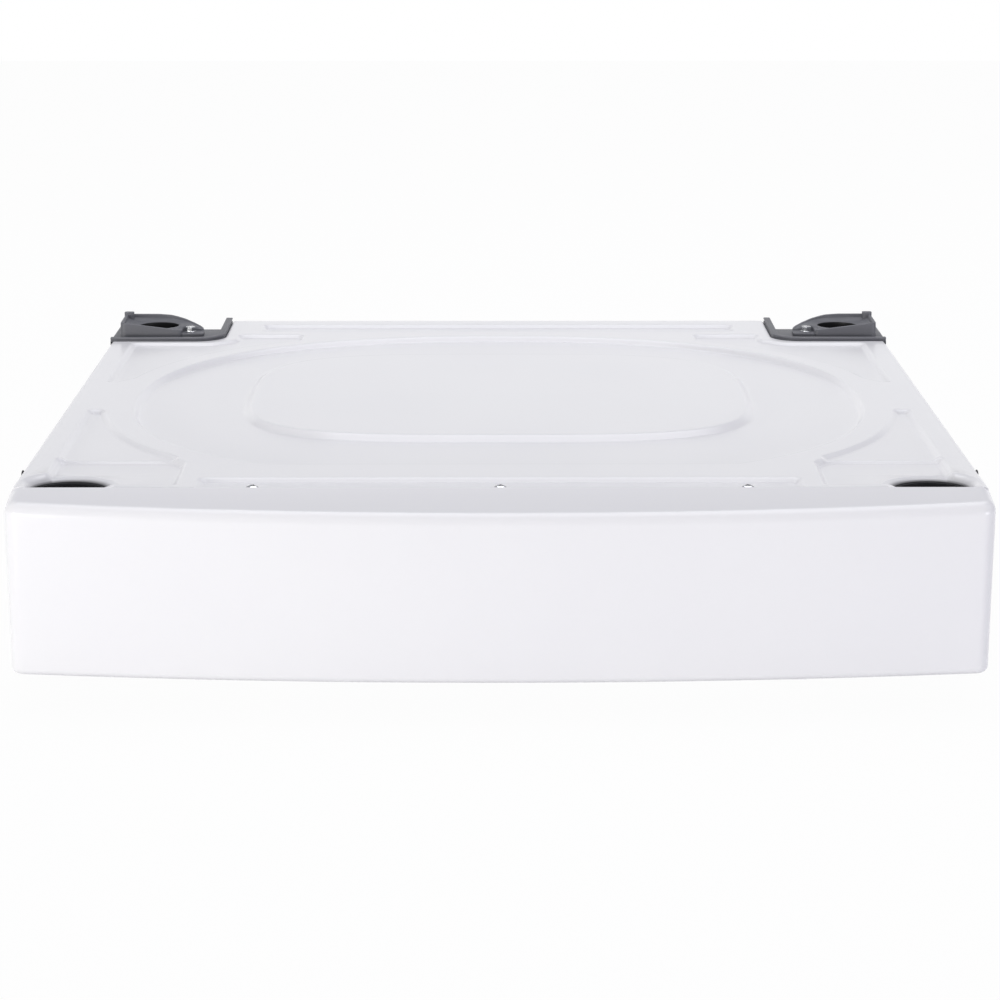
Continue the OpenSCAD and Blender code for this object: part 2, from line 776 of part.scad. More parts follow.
module base_screw() {
    translate([0, 0, -hex_head_h]) hex(hex_head_af, hex_head_h);
    translate([0, 0, -hex_head_h / 2]) cylinder(h = screw_l + hex_head_h / 2, r = screw_r);
}

module weld_nuts() {
    color(zinc) translate([0, lip_y, rail_top]) feet_places() nut(hex_af, weld_nut_h, stem_r + thread_gap);
}

module lock_nuts() {
    color(zinc) translate([0, lip_y, rail_z - lock_nut_h]) feet_places()
        nut(hex_af, lock_nut_h, stem_r + thread_gap);
}

// Threaded stem with its hexagon, which turns in the pad
module foot_stem(x, y) {
    color(zinc) translate([x, lip_y + y, foot_pad_h]) {
        hex(hex_af, foot_hex_h);
        translate([0, 0, -stem_dip]) cylinder(h = stem_dip + foot_hex_h + stem_l, r = stem_r);
    }
}

// Rubber pad with a ribbed underside and a raised middle
module foot_pad(x, y) {
    hub_r = foot_pad_r * 0.62;
    color(black) translate([x, lip_y + y, 0]) difference() {
        rotate_extrude() polygon([
            [0, 0], [foot_pad_r - 1, 0], [foot_pad_r, 1], [foot_pad_r, foot_pad_h * 0.42],
            [foot_pad_r - 1, foot_pad_h * 0.5], [hub_r + 1, foot_pad_h * 0.62], [hub_r, foot_pad_h - 1],
            [hub_r - 1, foot_pad_h], [0, foot_pad_h]]);
        translate([0, 0, foot_pad_h - stem_dip]) cylinder(h = stem_dip + cut, r = stem_r + thread_gap);
    }
}

top_deck();
front_panel();
left_side_panel();
right_side_panel();
rear_panel();
base_front_rail();
base_rear_rail();
mirror([1, 0, 0]) deck_stiffener();  // left_deck_stiffener
deck_stiffener();  // right_deck_stiffener
mirror([1, 0, 0]) front_post();  // front_left_post
front_post();  // front_right_post
mirror([1, 0, 0]) rear_post();  // rear_left_post
rear_post();  // rear_right_post
mirror([1, 0, 0]) rear_bracket();  // rear_left_bracket
rear_bracket();  // rear_right_bracket
mirror([1, 0, 0]) rear_foot_cup();  // rear_left_foot_cup
rear_foot_cup();  // rear_right_foot_cup
mirror([1, 0, 0]) front_foot_cup();  // front_left_foot_cup
front_foot_cup();  // front_right_foot_cup
cup_bolts();
cup_washers();
cup_nuts();
deck_screws();
side_screws();
base_screws();
weld_nuts();
lock_nuts();
foot_stem(-foot_x, front_foot_y);  // front_left_foot_stem
foot_stem(foot_x, front_foot_y);  // front_right_foot_stem
foot_stem(-foot_x, rear_foot_y);  // rear_left_foot_stem
foot_stem(foot_x, rear_foot_y);  // rear_right_foot_stem
foot_pad(-foot_x, front_foot_y);  // front_left_foot_pad
foot_pad(foot_x, front_foot_y);  // front_right_foot_pad
foot_pad(-foot_x, rear_foot_y);  // rear_left_foot_pad
foot_pad(foot_x, rear_foot_y);  // rear_right_foot_pad
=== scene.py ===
# %% [markdown]
# # A low laundry riser
# The real object is a box of folded and pressed sheet steel that lifts a washer off the floor. The packed
# model gives every piece its place and size. These cells give the pieces the shapes and finishes that the
# eye expects: drawn steel with soft edges, enamel, plating, moulded plastic and rubber.

# %% Load the model that fixes every place and size
import math

import bmesh
import bpy
import numpy as np
from mathutils import Matrix, Vector
from mathutils.geometry import delaunay_2d_cdt


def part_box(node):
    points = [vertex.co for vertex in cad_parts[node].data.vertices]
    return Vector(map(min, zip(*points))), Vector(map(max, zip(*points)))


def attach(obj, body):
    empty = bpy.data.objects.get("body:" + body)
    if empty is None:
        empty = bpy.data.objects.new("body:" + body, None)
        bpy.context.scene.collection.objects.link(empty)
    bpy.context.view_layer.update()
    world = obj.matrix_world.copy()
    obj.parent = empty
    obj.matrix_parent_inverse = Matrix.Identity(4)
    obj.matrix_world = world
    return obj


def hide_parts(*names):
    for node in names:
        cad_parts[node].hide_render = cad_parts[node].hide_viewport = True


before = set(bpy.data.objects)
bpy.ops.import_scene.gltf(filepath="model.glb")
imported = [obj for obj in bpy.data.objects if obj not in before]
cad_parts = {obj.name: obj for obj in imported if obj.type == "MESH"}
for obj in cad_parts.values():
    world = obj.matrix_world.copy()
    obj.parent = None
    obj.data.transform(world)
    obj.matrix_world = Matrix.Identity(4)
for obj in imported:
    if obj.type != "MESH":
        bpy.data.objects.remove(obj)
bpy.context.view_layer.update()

# %% [markdown]
# ## Places
# A maker measures everything from two surfaces: the deck's flat plane, and the straight edge where the front
# panel's lip meets the deck. Lengths are in millimetres here, and one helper turns them into the model's
# metres.

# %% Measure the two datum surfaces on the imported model
deck_low, deck_high = (1000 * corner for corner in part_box("top_deck"))
DECK_Z = deck_high.z
LIP_Y = deck_low.y - 0.4
DECK_HALF = deck_high.x
DECK_L = deck_high.y - LIP_Y


def place(x, along, up):
    """A point in metres, from millimetres across, back from the lip and up from the deck's plane."""
    return Vector((x, LIP_Y + along, DECK_Z + up)) / 1000


print("deck plane", round(DECK_Z, 2), "lip", round(LIP_Y, 2), "half width", round(DECK_HALF, 2))

# %% [markdown]
# ## The camera
# The picture was taken with a long lens from a little above, so the sides run together slowly. The two rows
# where the deck starts and ends, and the widths there, fix how far away the camera stood and how high.

# %% Stand the camera where the photograph was taken
STOOD_AT, LENS_MM = (-0.0061, -2.5173, 0.6509), 111.42
LOOKS_DOWN, LOOKS_ASIDE = 12.9, -0.155
photo_camera = bpy.data.cameras.new("photo_camera")
photo_camera.sensor_width = 36
photo_camera.lens = LENS_MM
camera = bpy.data.objects.new("photo_camera", photo_camera)
camera.location = STOOD_AT
camera.rotation_euler = (math.radians(90 - LOOKS_DOWN), 0, math.radians(LOOKS_ASIDE))
bpy.context.scene.collection.objects.link(camera)
bpy.context.scene.camera = camera
bpy.context.scene.view_settings.view_transform = "Standard"
print("lens", LENS_MM, "mm, looking down", LOOKS_DOWN, "degrees")

# %% [markdown]
# ## Two small tools for node trees
# Colours are written as the hex values that a paint card would give, and turned to linear light once. One
# function adds any node, sets its properties and fills or links its inputs, by name or one after another. A
# Mix node takes its two colours on sockets 6 and 7 and gives the result on 2, so these three have names.


# %% Colour and node helpers
def linear(hex_colour):
    """A colour card's hex value as linear red, green, blue and alpha."""
    parts = [int(hex_colour[i:i + 2], 16) / 255 for i in (1, 3, 5)]
    return [c / 12.92 if c <= 0.04045 else ((c + 0.055) / 1.055) ** 2.4 for c in parts] + [1.0]


MATH, MIX_A, MIX_B, MIXED = "ShaderNodeMath", 6, 7, 2


def add(tree, kind, inputs=(), **settings):
    """Adds a node. An input is a value, a socket to link, or a node whose first output is linked."""
    node = tree.nodes.new(kind)
    for name, value in settings.items():
        setattr(node, name, value)
    for name, value in inputs.items() if isinstance(inputs, dict) else enumerate(inputs):
        if isinstance(value, bpy.types.Node):
            value = value.outputs[0]
        if isinstance(value, bpy.types.NodeSocket):
            tree.links.new(value, node.inputs[name])
        else:
            node.inputs[name].default_value = value
    return node


def finish_of(name):
    """A new empty material with its tree and the coordinates of the object, which are in metres."""
    material = bpy.data.materials.new(name)
    material.use_nodes = True
    tree = material.node_tree
    tree.nodes.clear()
    where = add(tree, "ShaderNodeTexCoord").outputs["Object"]
    return material, tree, where


def close(tree, shader):
    add(tree, "ShaderNodeOutputMaterial", {"Surface": shader.outputs[0]})


def paint_shade_in_hole(material, dark, spot, radius, top, deep):
    """Paints shade into a finish inside a hole on each side: none at the top height, all of it at the deep one.
    """
    tree = material.node_tree
    base = next(n for n in tree.nodes if n.type == "BSDF_PRINCIPLED").inputs["Base Color"]
    part = add(tree, "ShaderNodeSeparateXYZ", {"Vector": add(tree, "ShaderNodeTexCoord").outputs["Object"]})
    across = add(tree, MATH, [part.outputs["X"]], operation="ABSOLUTE")
    x = add(tree, MATH, [across, spot.x], operation="SUBTRACT")
    y = add(tree, MATH, [part.outputs["Y"], spot.y], operation="SUBTRACT")
    squares = [add(tree, MATH, [d, d], operation="MULTIPLY") for d in (x, y)]
    away = add(tree, MATH, [add(tree, MATH, squares, operation="ADD")], operation="SQRT")
    inside = add(tree, MATH, [away, radius / 1000], operation="LESS_THAN")
    share = add(tree, "ShaderNodeMapRange", {"Value": part.outputs["Z"], "From Min": spot.z + top / 1000,
                                             "From Max": spot.z + deep / 1000})
    amount = add(tree, MATH, [inside, share], operation="MULTIPLY")
    mixed = add(tree, "ShaderNodeMix", {"Factor": amount, MIX_A: base.links[0].from_socket,
                                        MIX_B: linear(dark)}, data_type="RGBA")
    tree.links.new(mixed.outputs[MIXED], base)


print("half grey in linear light:", round(linear("#808080")[0], 3))


# %% [markdown]
# ## White enamel
# The deck, the front and the walls are sheet steel with a baked white enamel. Sprayed enamel dries with a faint
# orange peel, ripples 2 to 3 mm across and a few microns high, which softens its reflections. It is a
# dielectric over metal, so it is white with a clear gloss of IOR 1.5 and a roughness near 0.24. Its colour
# drifts by under one percent over a hand's width. The deck has an enamel of its own, the same but for painted
# shade: low in the two front holes its colour turns near black down the rolled edge, as shadow does there.

# %% Enamel finish
RIPPLE_MM = 2.6


def enamel(name, colour, deeper, roughness, peel):
    material, tree, where = finish_of(name)
    drift = add(tree, "ShaderNodeTexNoise", {"Vector": where, "Scale": 9.0, "Detail": 2.0})
    tint = add(tree, "ShaderNodeMix", {"Factor": drift.outputs["Fac"], MIX_A: linear(colour),
                                       MIX_B: linear(deeper)}, data_type="RGBA")
    ripple = add(tree, "ShaderNodeTexNoise", {"Vector": where, "Scale": 1000 / RIPPLE_MM, "Detail": 1.0})
    gloss = add(tree, "ShaderNodeMapRange", {"Value": drift.outputs["Fac"], "To Min": roughness - 0.03,
                                             "To Max": roughness + 0.03})
    bump = add(tree, "ShaderNodeBump", {"Height": ripple.outputs["Fac"], "Strength": peel, "Distance": 0.0001})
    shader = add(tree, "ShaderNodeBsdfPrincipled", {
        "Base Color": tint.outputs[MIXED], "Roughness": gloss.outputs[0], "IOR": 1.5,
        "Normal": bump.outputs[0]})
    close(tree, shader)
    return material


white_enamel, deck_enamel = (enamel(name, "#f2f2f3", "#efeff1", 0.24, 0.12)
                             for name in ("white_baked_enamel", "white_deck_enamel_painted_shade"))
print("enamel ripple", RIPPLE_MM, "mm")

# %% [markdown]
# ## Bare and plated steel
# The rails, posts and stiffeners are hot-dip galvanised sheet. The zinc freezes into spangles, flat crystals
# 6 to 12 mm across that each catch the light a little differently. Nuts, bolts and stems are electroplated,
# so they are finer and brighter, with the marks of the tool that turned them. Those rings are about 0.2 mm
# apart on the real ones, too fine to show here, and are drawn about 0.7 mm apart.


# %% Metal finishes
SPANGLE_MM, RING_SCALE = 9, 1000 / 2.2


def galvanised():
    material, tree, where = finish_of("galvanised_sheet")
    crystal = add(tree, "ShaderNodeTexVoronoi", {"Vector": where, "Scale": 1000 / SPANGLE_MM,
                                                  "Randomness": 1.0})
    shade = add(tree, "ShaderNodeSeparateColor", {"Color": crystal.outputs["Color"]})
    grime = add(tree, "ShaderNodeTexNoise", {"Vector": where, "Scale": 40.0, "Detail": 4.0})
    tint = add(tree, "ShaderNodeMix", {"Factor": shade.outputs[0], MIX_A: linear("#aeb3b8"),
                                       MIX_B: linear("#c9cdd1")}, data_type="RGBA")
    rough = add(tree, "ShaderNodeMapRange", {"Value": shade.outputs[1], "To Min": 0.30, "To Max": 0.48})
    bump = add(tree, "ShaderNodeBump", {"Height": grime.outputs["Fac"], "Strength": 0.15, "Distance": 0.0002})
    shader = add(tree, "ShaderNodeBsdfPrincipled", {
        "Base Color": tint.outputs[MIXED], "Metallic": 1.0, "Roughness": rough.outputs[0],
        "Normal": bump.outputs[0]})
    close(tree, shader)
    return material


def plated(name, colour, cast, roughness, grain):
    """Turned and plated steel, with the rings that the lathe leaves."""
    material, tree, where = finish_of(name)
    cloud = add(tree, "ShaderNodeTexNoise", {"Vector": where, "Scale": 120.0, "Detail": 3.0})
    tint = add(tree, "ShaderNodeMix", {"Factor": cloud.outputs["Fac"], MIX_A: linear(colour),
                                       MIX_B: linear(cast)}, data_type="RGBA")
    rings = add(tree, "ShaderNodeTexWave", {"Vector": where, "Scale": RING_SCALE, "Distortion": 1.5},
                wave_type="BANDS", bands_direction="Z")
    bump = add(tree, "ShaderNodeBump", {"Height": rings.outputs["Fac"], "Strength": grain,
                                        "Distance": 0.00005})
    rough = add(tree, "ShaderNodeMapRange", {"Value": cloud.outputs["Fac"], "To Min": roughness - 0.05,
                                             "To Max": roughness + 0.08})
    shader = add(tree, "ShaderNodeBsdfPrincipled", {
        "Base Color": tint.outputs[MIXED], "Metallic": 1.0, "Roughness": rough.outputs[0],
        "Normal": bump.outputs[0]})
    close(tree, shader)
    return material


galvanised_sheet = galvanised()
zinc_plate = plated("zinc_plated_steel", "#c3c6c8", "#cfcdc4", 0.30, 0.25)
bright_plate = plated("bright_plated_steel", "#dcdee0", "#e6e7e8", 0.14, 0.12)
print("spangle", SPANGLE_MM, "mm")

# %% [markdown]
# ## Powder coat, black oxide, moulded plastic and rubber
# The corner brackets have a dark grey powder coat, which is baked dust: a fine bumpy skin. The cups are moulded
# in grey and black plastic with a spark-eroded texture, which is finer. The side screws are oxidised black,
# and the feet stand on black rubber that is dull and slightly dusty. Real grains are 0.1 to 0.3 mm across,
# too fine to show here, and are drawn two to three times as coarse.


# %% Grained dark finishes
def grained(name, colour, worn_colour, roughness, grain_mm, grain_strength, ior=1.5):
    material, tree, where = finish_of(name)
    cloud = add(tree, "ShaderNodeTexNoise", {"Vector": where, "Scale": 30.0, "Detail": 3.0})
    tint = add(tree, "ShaderNodeMix", {"Factor": cloud.outputs["Fac"], MIX_A: linear(colour),
                                       MIX_B: linear(worn_colour)}, data_type="RGBA")
    grain = add(tree, "ShaderNodeTexNoise", {"Vector": where, "Scale": 1000 / grain_mm, "Detail": 2.0})
    rough = add(tree, "ShaderNodeMapRange", {"Value": grain.outputs["Fac"], "To Min": roughness - 0.06,
                                             "To Max": roughness + 0.08})
    bump = add(tree, "ShaderNodeBump", {"Height": grain.outputs["Fac"], "Strength": grain_strength,
                                        "Distance": 0.0002})
    close(tree, add(tree, "ShaderNodeBsdfPrincipled", {
        "Base Color": tint.outputs[MIXED], "Roughness": rough.outputs[0], "Normal": bump.outputs[0],
        "IOR": ior}))
    return material


grey_powder_coat = grained("dark_grey_powder_coat", "#6a6b70", "#626368", 0.48, 0.7, 0.30)
grey_plastic = grained("grey_moulded_plastic_painted_shade", "#6e6f74", "#66676c", 0.50, 0.45, 0.25, ior=1.49)
black_plastic = grained("black_moulded_plastic", "#1c1c1e", "#242427", 0.46, 0.45, 0.25, ior=1.49)
black_oxide = grained("black_oxide_steel", "#1b1b1d", "#26262a", 0.36, 0.5, 0.15)
foot_rubber = grained("black_foot_rubber", "#1d1d1d", "#2a2a29", 0.72, 0.6, 0.35, ior=1.52)
print("grain 0.45 to 0.7 mm")

# %% [markdown]
# ## Outlines
# A press tool is drawn as closed outlines. A squircle, halfway between a circle and a square, gives the big
# ring and the platform. Corners of the other outlines are rounded, because sheet steel tears in a sharp one.


# %% Outline helpers
def squircle(half_w, half_l, power, start, end, steps):
    points = []
    for i in range(steps + 1):
        a = math.radians(start + (end - start) * i / steps)
        c, s = math.cos(a), math.sin(a)
        points.append((half_w * math.copysign(abs(c) ** (2 / power), c),
                       half_l * math.copysign(abs(s) ** (2 / power), s)))
    return points


def rounded(outline, radius, steps=5):
    """The outline with each sharp corner turned into an arc, of one radius or of a list of them."""
    result, n = [], len(outline)
    radii = radius if isinstance(radius, list) else [radius] * n
    for i in range(n):
        before, here, after = (Vector(outline[(i + d) % n]) for d in (-1, 0, 1))
        u, v = (before - here), (after - here)
        turn = math.pi - u.angle(v)
        if turn < math.radians(20):
            result.append(tuple(here))
            continue
        reach = min(radii[i] * math.tan(turn / 2), 0.45 * u.length, 0.45 * v.length)
        start = here + u.normalized() * reach
        centre = here + (u.normalized() + v.normalized()).normalized() * reach / math.sin(turn / 2)
        swing = math.copysign(turn, v.cross(u))
        for j in range(steps + 1):
            result.append(tuple(centre + Matrix.Rotation(swing * j / steps, 2) @ (start - centre)))
    return result


def drawn_in(outline, d):
    """The outline moved inwards by d, its corners kept sharp."""
    p = np.array(outline, float)
    a = p - np.roll(p, 1, 0)
    b = np.roll(p, -1, 0) - p
    a /= np.linalg.norm(a, axis=1)[:, None]
    b /= np.linalg.norm(b, axis=1)[:, None]
    m = np.stack([-(a + b)[:, 1], (a + b)[:, 0]], 1)
    m /= np.linalg.norm(m, axis=1)[:, None]
    along = np.maximum(0.6, (m * np.stack([-a[:, 1], a[:, 0]], 1)).sum(1))
    return [tuple(q) for q in p + m * (d / along)[:, None]]


def depth_inside(outline, points):
    """How far each point lies inside the outline, in millimetres, and less than 0 outside it."""
    a = np.array(outline, float)
    b = np.roll(a, -1, 0)
    best = np.full(len(points), 1e9)
    inside = np.zeros(len(points), bool)
    for p, q in zip(a, b):
        edge = q - p
        t = np.clip(((points - p) @ edge) / (edge @ edge), 0, 1)
        best = np.minimum(best, np.linalg.norm(points - p - t[:, None] * edge, axis=1))
        crosses = (p[1] > points[:, 1]) != (q[1] > points[:, 1])
        with np.errstate(divide="ignore", invalid="ignore"):
            x = p[0] + (points[:, 1] - p[1]) * edge[0] / edge[1]
        inside ^= crosses & (points[:, 0] < x)
    return np.where(inside, best, -best)


print("a square with round corners has", len(rounded([(0, 0), (9, 0), (9, 9), (0, 9)], 2)), "points")

# %% [markdown]
# ## The pressed deck
# The real deck starts as one flat sheet. A press sinks a ring into it and leaves a platform standing in the
# middle, sinks shallow recesses into the corners, and folds the rim down. A grid fine enough for those slopes
# would waste its faces on flat steel, so the outlines and a few drawn-in copies of them are laid down first,
# and a triangulation joins them. Every vertex then gets its height from its distance to the outlines.

# %% Outlines of the pressings
RING_HALF, RING_MID, RING_FRONT, RING_LAND, RING_POWER = 300, 337, 80, 19, 2.3
RECESS_OUT = DECK_HALF - 18
NOTCH_X, NOTCH_Y = 252, DECK_L - 112
PLATFORM_MID = RING_MID + 29


def land_arc(start, end, steps):
    half = RING_HALF + RING_LAND
    return [(x, RING_MID + y) for x, y in squircle(half, half, RING_POWER, start, end, steps)]


def box_outline(x0, x1, y0, y1, radius):
    return rounded([(x0, y0), (x1, y0), (x1, y1), (x0, y1)], radius)


ring = [(x, max(RING_FRONT, RING_MID + y))
        for x, y in squircle(RING_HALF, RING_HALF, RING_POWER, 0, 360, 240)[:-1]]
ring = rounded(ring, 26, 6)
platform = [(x, PLATFORM_MID + y) for x, y in squircle(212, 187, 3.5, 0, 360, 160)[:-1]]
pad = rounded([(234, 8), (RECESS_OUT, 8), (RECESS_OUT, 104), (258, 104)]
              + [(258 - 24 * math.sin(a), 80 + 24 * math.cos(a)) for a in np.radians([12, 30, 45, 60, 78])], 7)
front_corner = rounded(
    [(RECESS_OUT - 14, 60), (RECESS_OUT, 112), (RECESS_OUT, 290), (RECESS_OUT - 15, 290)]
    + land_arc(-12, -43, 24) + [(242, 98), (242, 60)], 7)
rear_corner = rounded(
    [(RECESS_OUT, NOTCH_Y - 8), (NOTCH_X + 10, NOTCH_Y - 8), (NOTCH_X - 10, NOTCH_Y + 9),
     (NOTCH_X - 10, NOTCH_Y + 35), (178, NOTCH_Y + 35)]
    + land_arc(59, 14, 36) + [(RECESS_OUT, 396)], 7)
front_trough = box_outline(-222, 222, -20, 34, 8)
rear_trough = box_outline(-222, 222, DECK_L - 61, DECK_L - 23, 8)
print("ring", len(ring), "platform", len(platform), "corner", len(rear_corner), "points")


# %% Height of the sheet at any point
def mirrored(outline):
    return [(-x, y) for x, y in reversed(outline)]


def ease(t):
    t = np.clip(t, 0, 1)
    return t * t * (3 - 2 * t)


RING_DEPTH, SLOPE_RUN, PLATFORM_RUN = 4.5, 6.0, 9.0
PRESSINGS = [(ring, RING_DEPTH)]
for outline, depth in ((pad, 4.0), (front_corner, 2.5), (rear_corner, 2.5)):
    PRESSINGS += [(outline, depth), (mirrored(outline), depth)]
PRESSINGS += [(front_trough, 3.0), (rear_trough, 3.0)]
WELL_X, WELL_Y, WELL_R, BEVEL_R, BEVEL_DROP, BEVEL_STEEP = 315, 17, 28, 34, 9, 0.985
BEAD_R, BEAD_HALF, BEAD_RISE = 37, 3, 0.5
BEND_R = 2.2
CORNER_TURN = 25.8
deck_edge = rounded([(-DECK_HALF, -40), (DECK_HALF, -40), (DECK_HALF, NOTCH_Y), (NOTCH_X, NOTCH_Y),
                     (NOTCH_X, DECK_L), (-NOTCH_X, DECK_L), (-NOTCH_X, NOTCH_Y), (-DECK_HALF, NOTCH_Y)],
                    [3, 3, 3, CORNER_TURN, 3, 3, CORNER_TURN, 3], 9)


def deck_height(points):
    """Height above the deck's plane, in millimetres."""
    z = np.zeros(len(points))
    depth = depth_inside(deck_edge, points)
    for outline, fall in PRESSINGS:
        z = np.minimum(z, -fall * ease(depth_inside(outline, points) / SLOPE_RUN))
    on_platform = depth_inside(platform, points)
    raised = -RING_DEPTH + RING_DEPTH * ease(on_platform / PLATFORM_RUN)
    z = np.where(on_platform > 0, np.maximum(z, raised), z)
    for side in (-1, 1):
        r = np.hypot(points[:, 0] - side * WELL_X, points[:, 1] - WELL_Y)
        s = np.clip((BEVEL_R - r) / (BEVEL_R - WELL_R), 0, 1) * BEVEL_STEEP
        z = np.where(r < BEVEL_R, (BEVEL_DROP + z) * np.sqrt(1 - s * s) - BEVEL_DROP, z)
        bead = BEAD_RISE * np.clip(1 - ((r - BEAD_R) / BEAD_HALF) ** 2, 0, 1)
        z = z + bead * np.clip(depth / 5, 0, 1)
    edge = np.clip(BEND_R - depth, 0, BEND_R)
    return z - (BEND_R - np.sqrt(BEND_R ** 2 - edge ** 2))


print("platform and ring heights:", deck_height(np.array([(0.0, PLATFORM_MID), (0.0, 110.0)])).round(2))

# %% Lay the outlines down and triangulate between them
laid, laid_edges = [], []


def lay(points, closed=True):
    first, n = len(laid), len(points)
    laid.extend(Vector(p) for p in points)
    laid_edges.extend((first + i, first + (i + 1) % n) for i in range(n if closed else n - 1))


def circle(x, y, r, n):
    return [(x + r * math.cos(2 * math.pi * i / n), y + r * math.sin(2 * math.pi * i / n)) for i in range(n)]


SLOPE = (-0.2, 0, 0.12, 0.27, 0.42, 0.58, 0.73, 0.88, 1, 1.2)
for outline, _ in PRESSINGS:
    for s in SLOPE:
        lay(drawn_in(outline, SLOPE_RUN * s))
for s in SLOPE:
    lay(drawn_in(platform, PLATFORM_RUN * s))
for x in (-WELL_X, WELL_X):
    for r in (40, 38.5, 37, 35.5, 34, 32.6, 31.4, 30.2, 29.3, 28.6, 28.15, 28):
        lay(circle(x, WELL_Y, r, 72))
BEND_STRIP = 1.2
for d in (0, 0.17, 0.65, 1.35, BEND_R, BEND_R + BEND_STRIP):
    lay(drawn_in(deck_edge, d))
SCREW_X, SCREW_Y, SCREW_HOLE = (-180, 0, 180), 8, 2.2
for x in SCREW_X:
    for r in (SCREW_HOLE, 5.5):
        lay(circle(x, SCREW_Y, r, 24))
lay([(-DECK_HALF - 1, 0.4), (DECK_HALF + 1, 0.4)], closed=False)
flat, _, faces, _, _, _ = delaunay_2d_cdt(laid, laid_edges, [], 0, 1e-4)
spots = np.array([tuple(v) for v in flat])
centres = np.array([spots[list(f)].mean(0) for f in faces])
keep = (depth_inside(deck_edge, centres) > 0) & (centres[:, 1] > 0.4)
for x in (-WELL_X, WELL_X):
    keep &= np.hypot(centres[:, 0] - x, centres[:, 1] - WELL_Y) > WELL_R
for x in SCREW_X:
    keep &= np.hypot(centres[:, 0] - x, centres[:, 1] - SCREW_Y) > SCREW_HOLE
print("deck points", len(spots), "faces", int(keep.sum()))


# %% Tools that finish any piece
def solid(name, mesh, material, replaces, body="riser", auto=35):
    """A finished piece: its mesh in place, its finish, the nodes that it stands for and its body."""
    piece = bpy.data.objects.new(name, mesh)
    bpy.context.scene.collection.objects.link(piece)
    mesh.materials.clear()
    mesh.materials.append(material)
    mesh.shade_smooth()
    sharpen(mesh, auto)
    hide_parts(*replaces)
    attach(piece, body)


def sharpen(mesh, degrees):
    """Marks edges sharper than the angle, so that bends are smooth and cut rims are crisp."""
    bm = bmesh.new()
    bm.from_mesh(mesh)
    for edge in bm.edges:
        edge.smooth = len(edge.link_faces) == 2 and edge.calc_face_angle() < math.radians(degrees)
    bm.to_mesh(mesh)
    bm.free()


def baked(mesh, *modifiers):
    """The mesh with modifiers applied: each is a type and its settings."""
    helper = bpy.data.objects.new("helper", mesh)
    bpy.context.scene.collection.objects.link(helper)
    for kind, settings in modifiers:
        modifier = helper.modifiers.new(kind.lower(), kind)
        for key, value in settings.items():
            setattr(modifier, key, value)
    graph = bpy.context.evaluated_depsgraph_get()
    result = bpy.data.meshes.new_from_object(helper.evaluated_get(graph), depsgraph=graph)
    bpy.data.objects.remove(helper)
    return result


# %% Raise the sheet, fold its rim down and give it its thickness
RIM_DROP, DECK_GAUGE = 16, 1.2
heights = deck_height(spots)
bm = bmesh.new()
corners = [bm.verts.new(place(x, y, z)) for (x, y), z in zip(spots, heights)]
for f, wanted in zip(faces, keep):
    if wanted:
        bm.faces.new([corners[i] for i in f])
bmesh.ops.delete(bm, geom=[v for v in bm.verts if not v.link_faces], context="VERTS")
bm.verts.index_update()
rim_depth = depth_inside(deck_edge, np.array([(1000 * v.co.x, 1000 * v.co.y - LIP_Y) for v in bm.verts]))
rim = [e for e in bm.edges if e.is_boundary and all(abs(rim_depth[v.index]) < 0.02 for v in e.verts)]
for drop in (BEND_STRIP, RIM_DROP - BEND_R - BEND_STRIP):
    grown = bmesh.ops.extrude_edge_only(bm, edges=rim)["geom"]
    bmesh.ops.translate(bm, vec=(0, 0, -drop / 1000),
                        verts=[g for g in grown if isinstance(g, bmesh.types.BMVert)])
    rim = [g for g in grown if isinstance(g, bmesh.types.BMEdge)
           and all(v in grown for v in g.verts) and g.is_boundary]
bmesh.ops.recalc_face_normals(bm, faces=bm.faces)
if sum(f.normal.z for f in bm.faces) < 0:
    bmesh.ops.reverse_faces(bm, faces=bm.faces)
deck_mesh = bpy.data.meshes.new("pressed_deck")
bm.to_mesh(deck_mesh)
bm.free()
deck_mesh = baked(deck_mesh, ("SOLIDIFY", {"thickness": DECK_GAUGE / 1000, "offset": -1.0,
                                           "use_even_offset": True}))
# Painted shade: the deck's enamel turns near black low in both wells' rolled edges.
paint_shade_in_hole(deck_enamel, "#1c1c1e", place(WELL_X, WELL_Y, 0), 33, -4.05, -6.4)
solid("pressed_deck", deck_mesh, deck_enamel, ["top_deck"], auto=50)
print("deck triangles", sum(len(p.vertices) - 2 for p in deck_mesh.polygons))

# %% [markdown]
# ## The bowed front panel
# The front is one sheet drawn over a former. It follows a rule: the same section, a rounded top edge, a tall
# face and a rounded lower edge, runs all along a bowed plan with round corners, and the top edge falls with
# the slope of the lip. That makes it a job for Geometry Nodes. The tree draws the section from its sizes,
# sweeps it along the plan, closes the lip with one flat face, and then tilts what is near the top. The lip
# darkens towards its front edge, as one with a hollow of 0.8 mm does, so it is cut into strips and lowered by
# a parabola.

# %% Plan of the panel, drawn in from its outside
PANEL_W, PANEL_H, PANEL_D, PANEL_BOW, CORNER_R = 711, 132, 58, 25, 12
BOW_R = ((PANEL_W / 2) ** 2 + PANEL_BOW ** 2) / (2 * PANEL_BOW)


def panel_plan(inset, bow_steps=96, corner_steps=10):
    r, big = max(0.5, CORNER_R - inset), BOW_R - inset
    cx, c0 = PANEL_W / 2 - inset - r, BOW_R - PANEL_D
    cy = c0 - math.sqrt((big - r) ** 2 - cx * cx)
    turn = math.atan2(cy - c0, cx)
    points = [(inset - PANEL_W / 2, 0)]
    for i in range(corner_steps + 1):
        a = math.pi - turn * i / corner_steps
        points.append((-cx + r * math.cos(a), cy + r * math.sin(a)))
    for i in range(1, bow_steps):
        a = -math.pi - turn + (math.pi + 2 * turn) * i / bow_steps
        points.append((big * math.cos(a), c0 + big * math.sin(a)))
    for i in range(corner_steps + 1):
        a = turn - turn * i / corner_steps
        points.append((cx + r * math.cos(a), cy + r * math.sin(a)))
    return points + [(PANEL_W / 2 - inset, 0)]


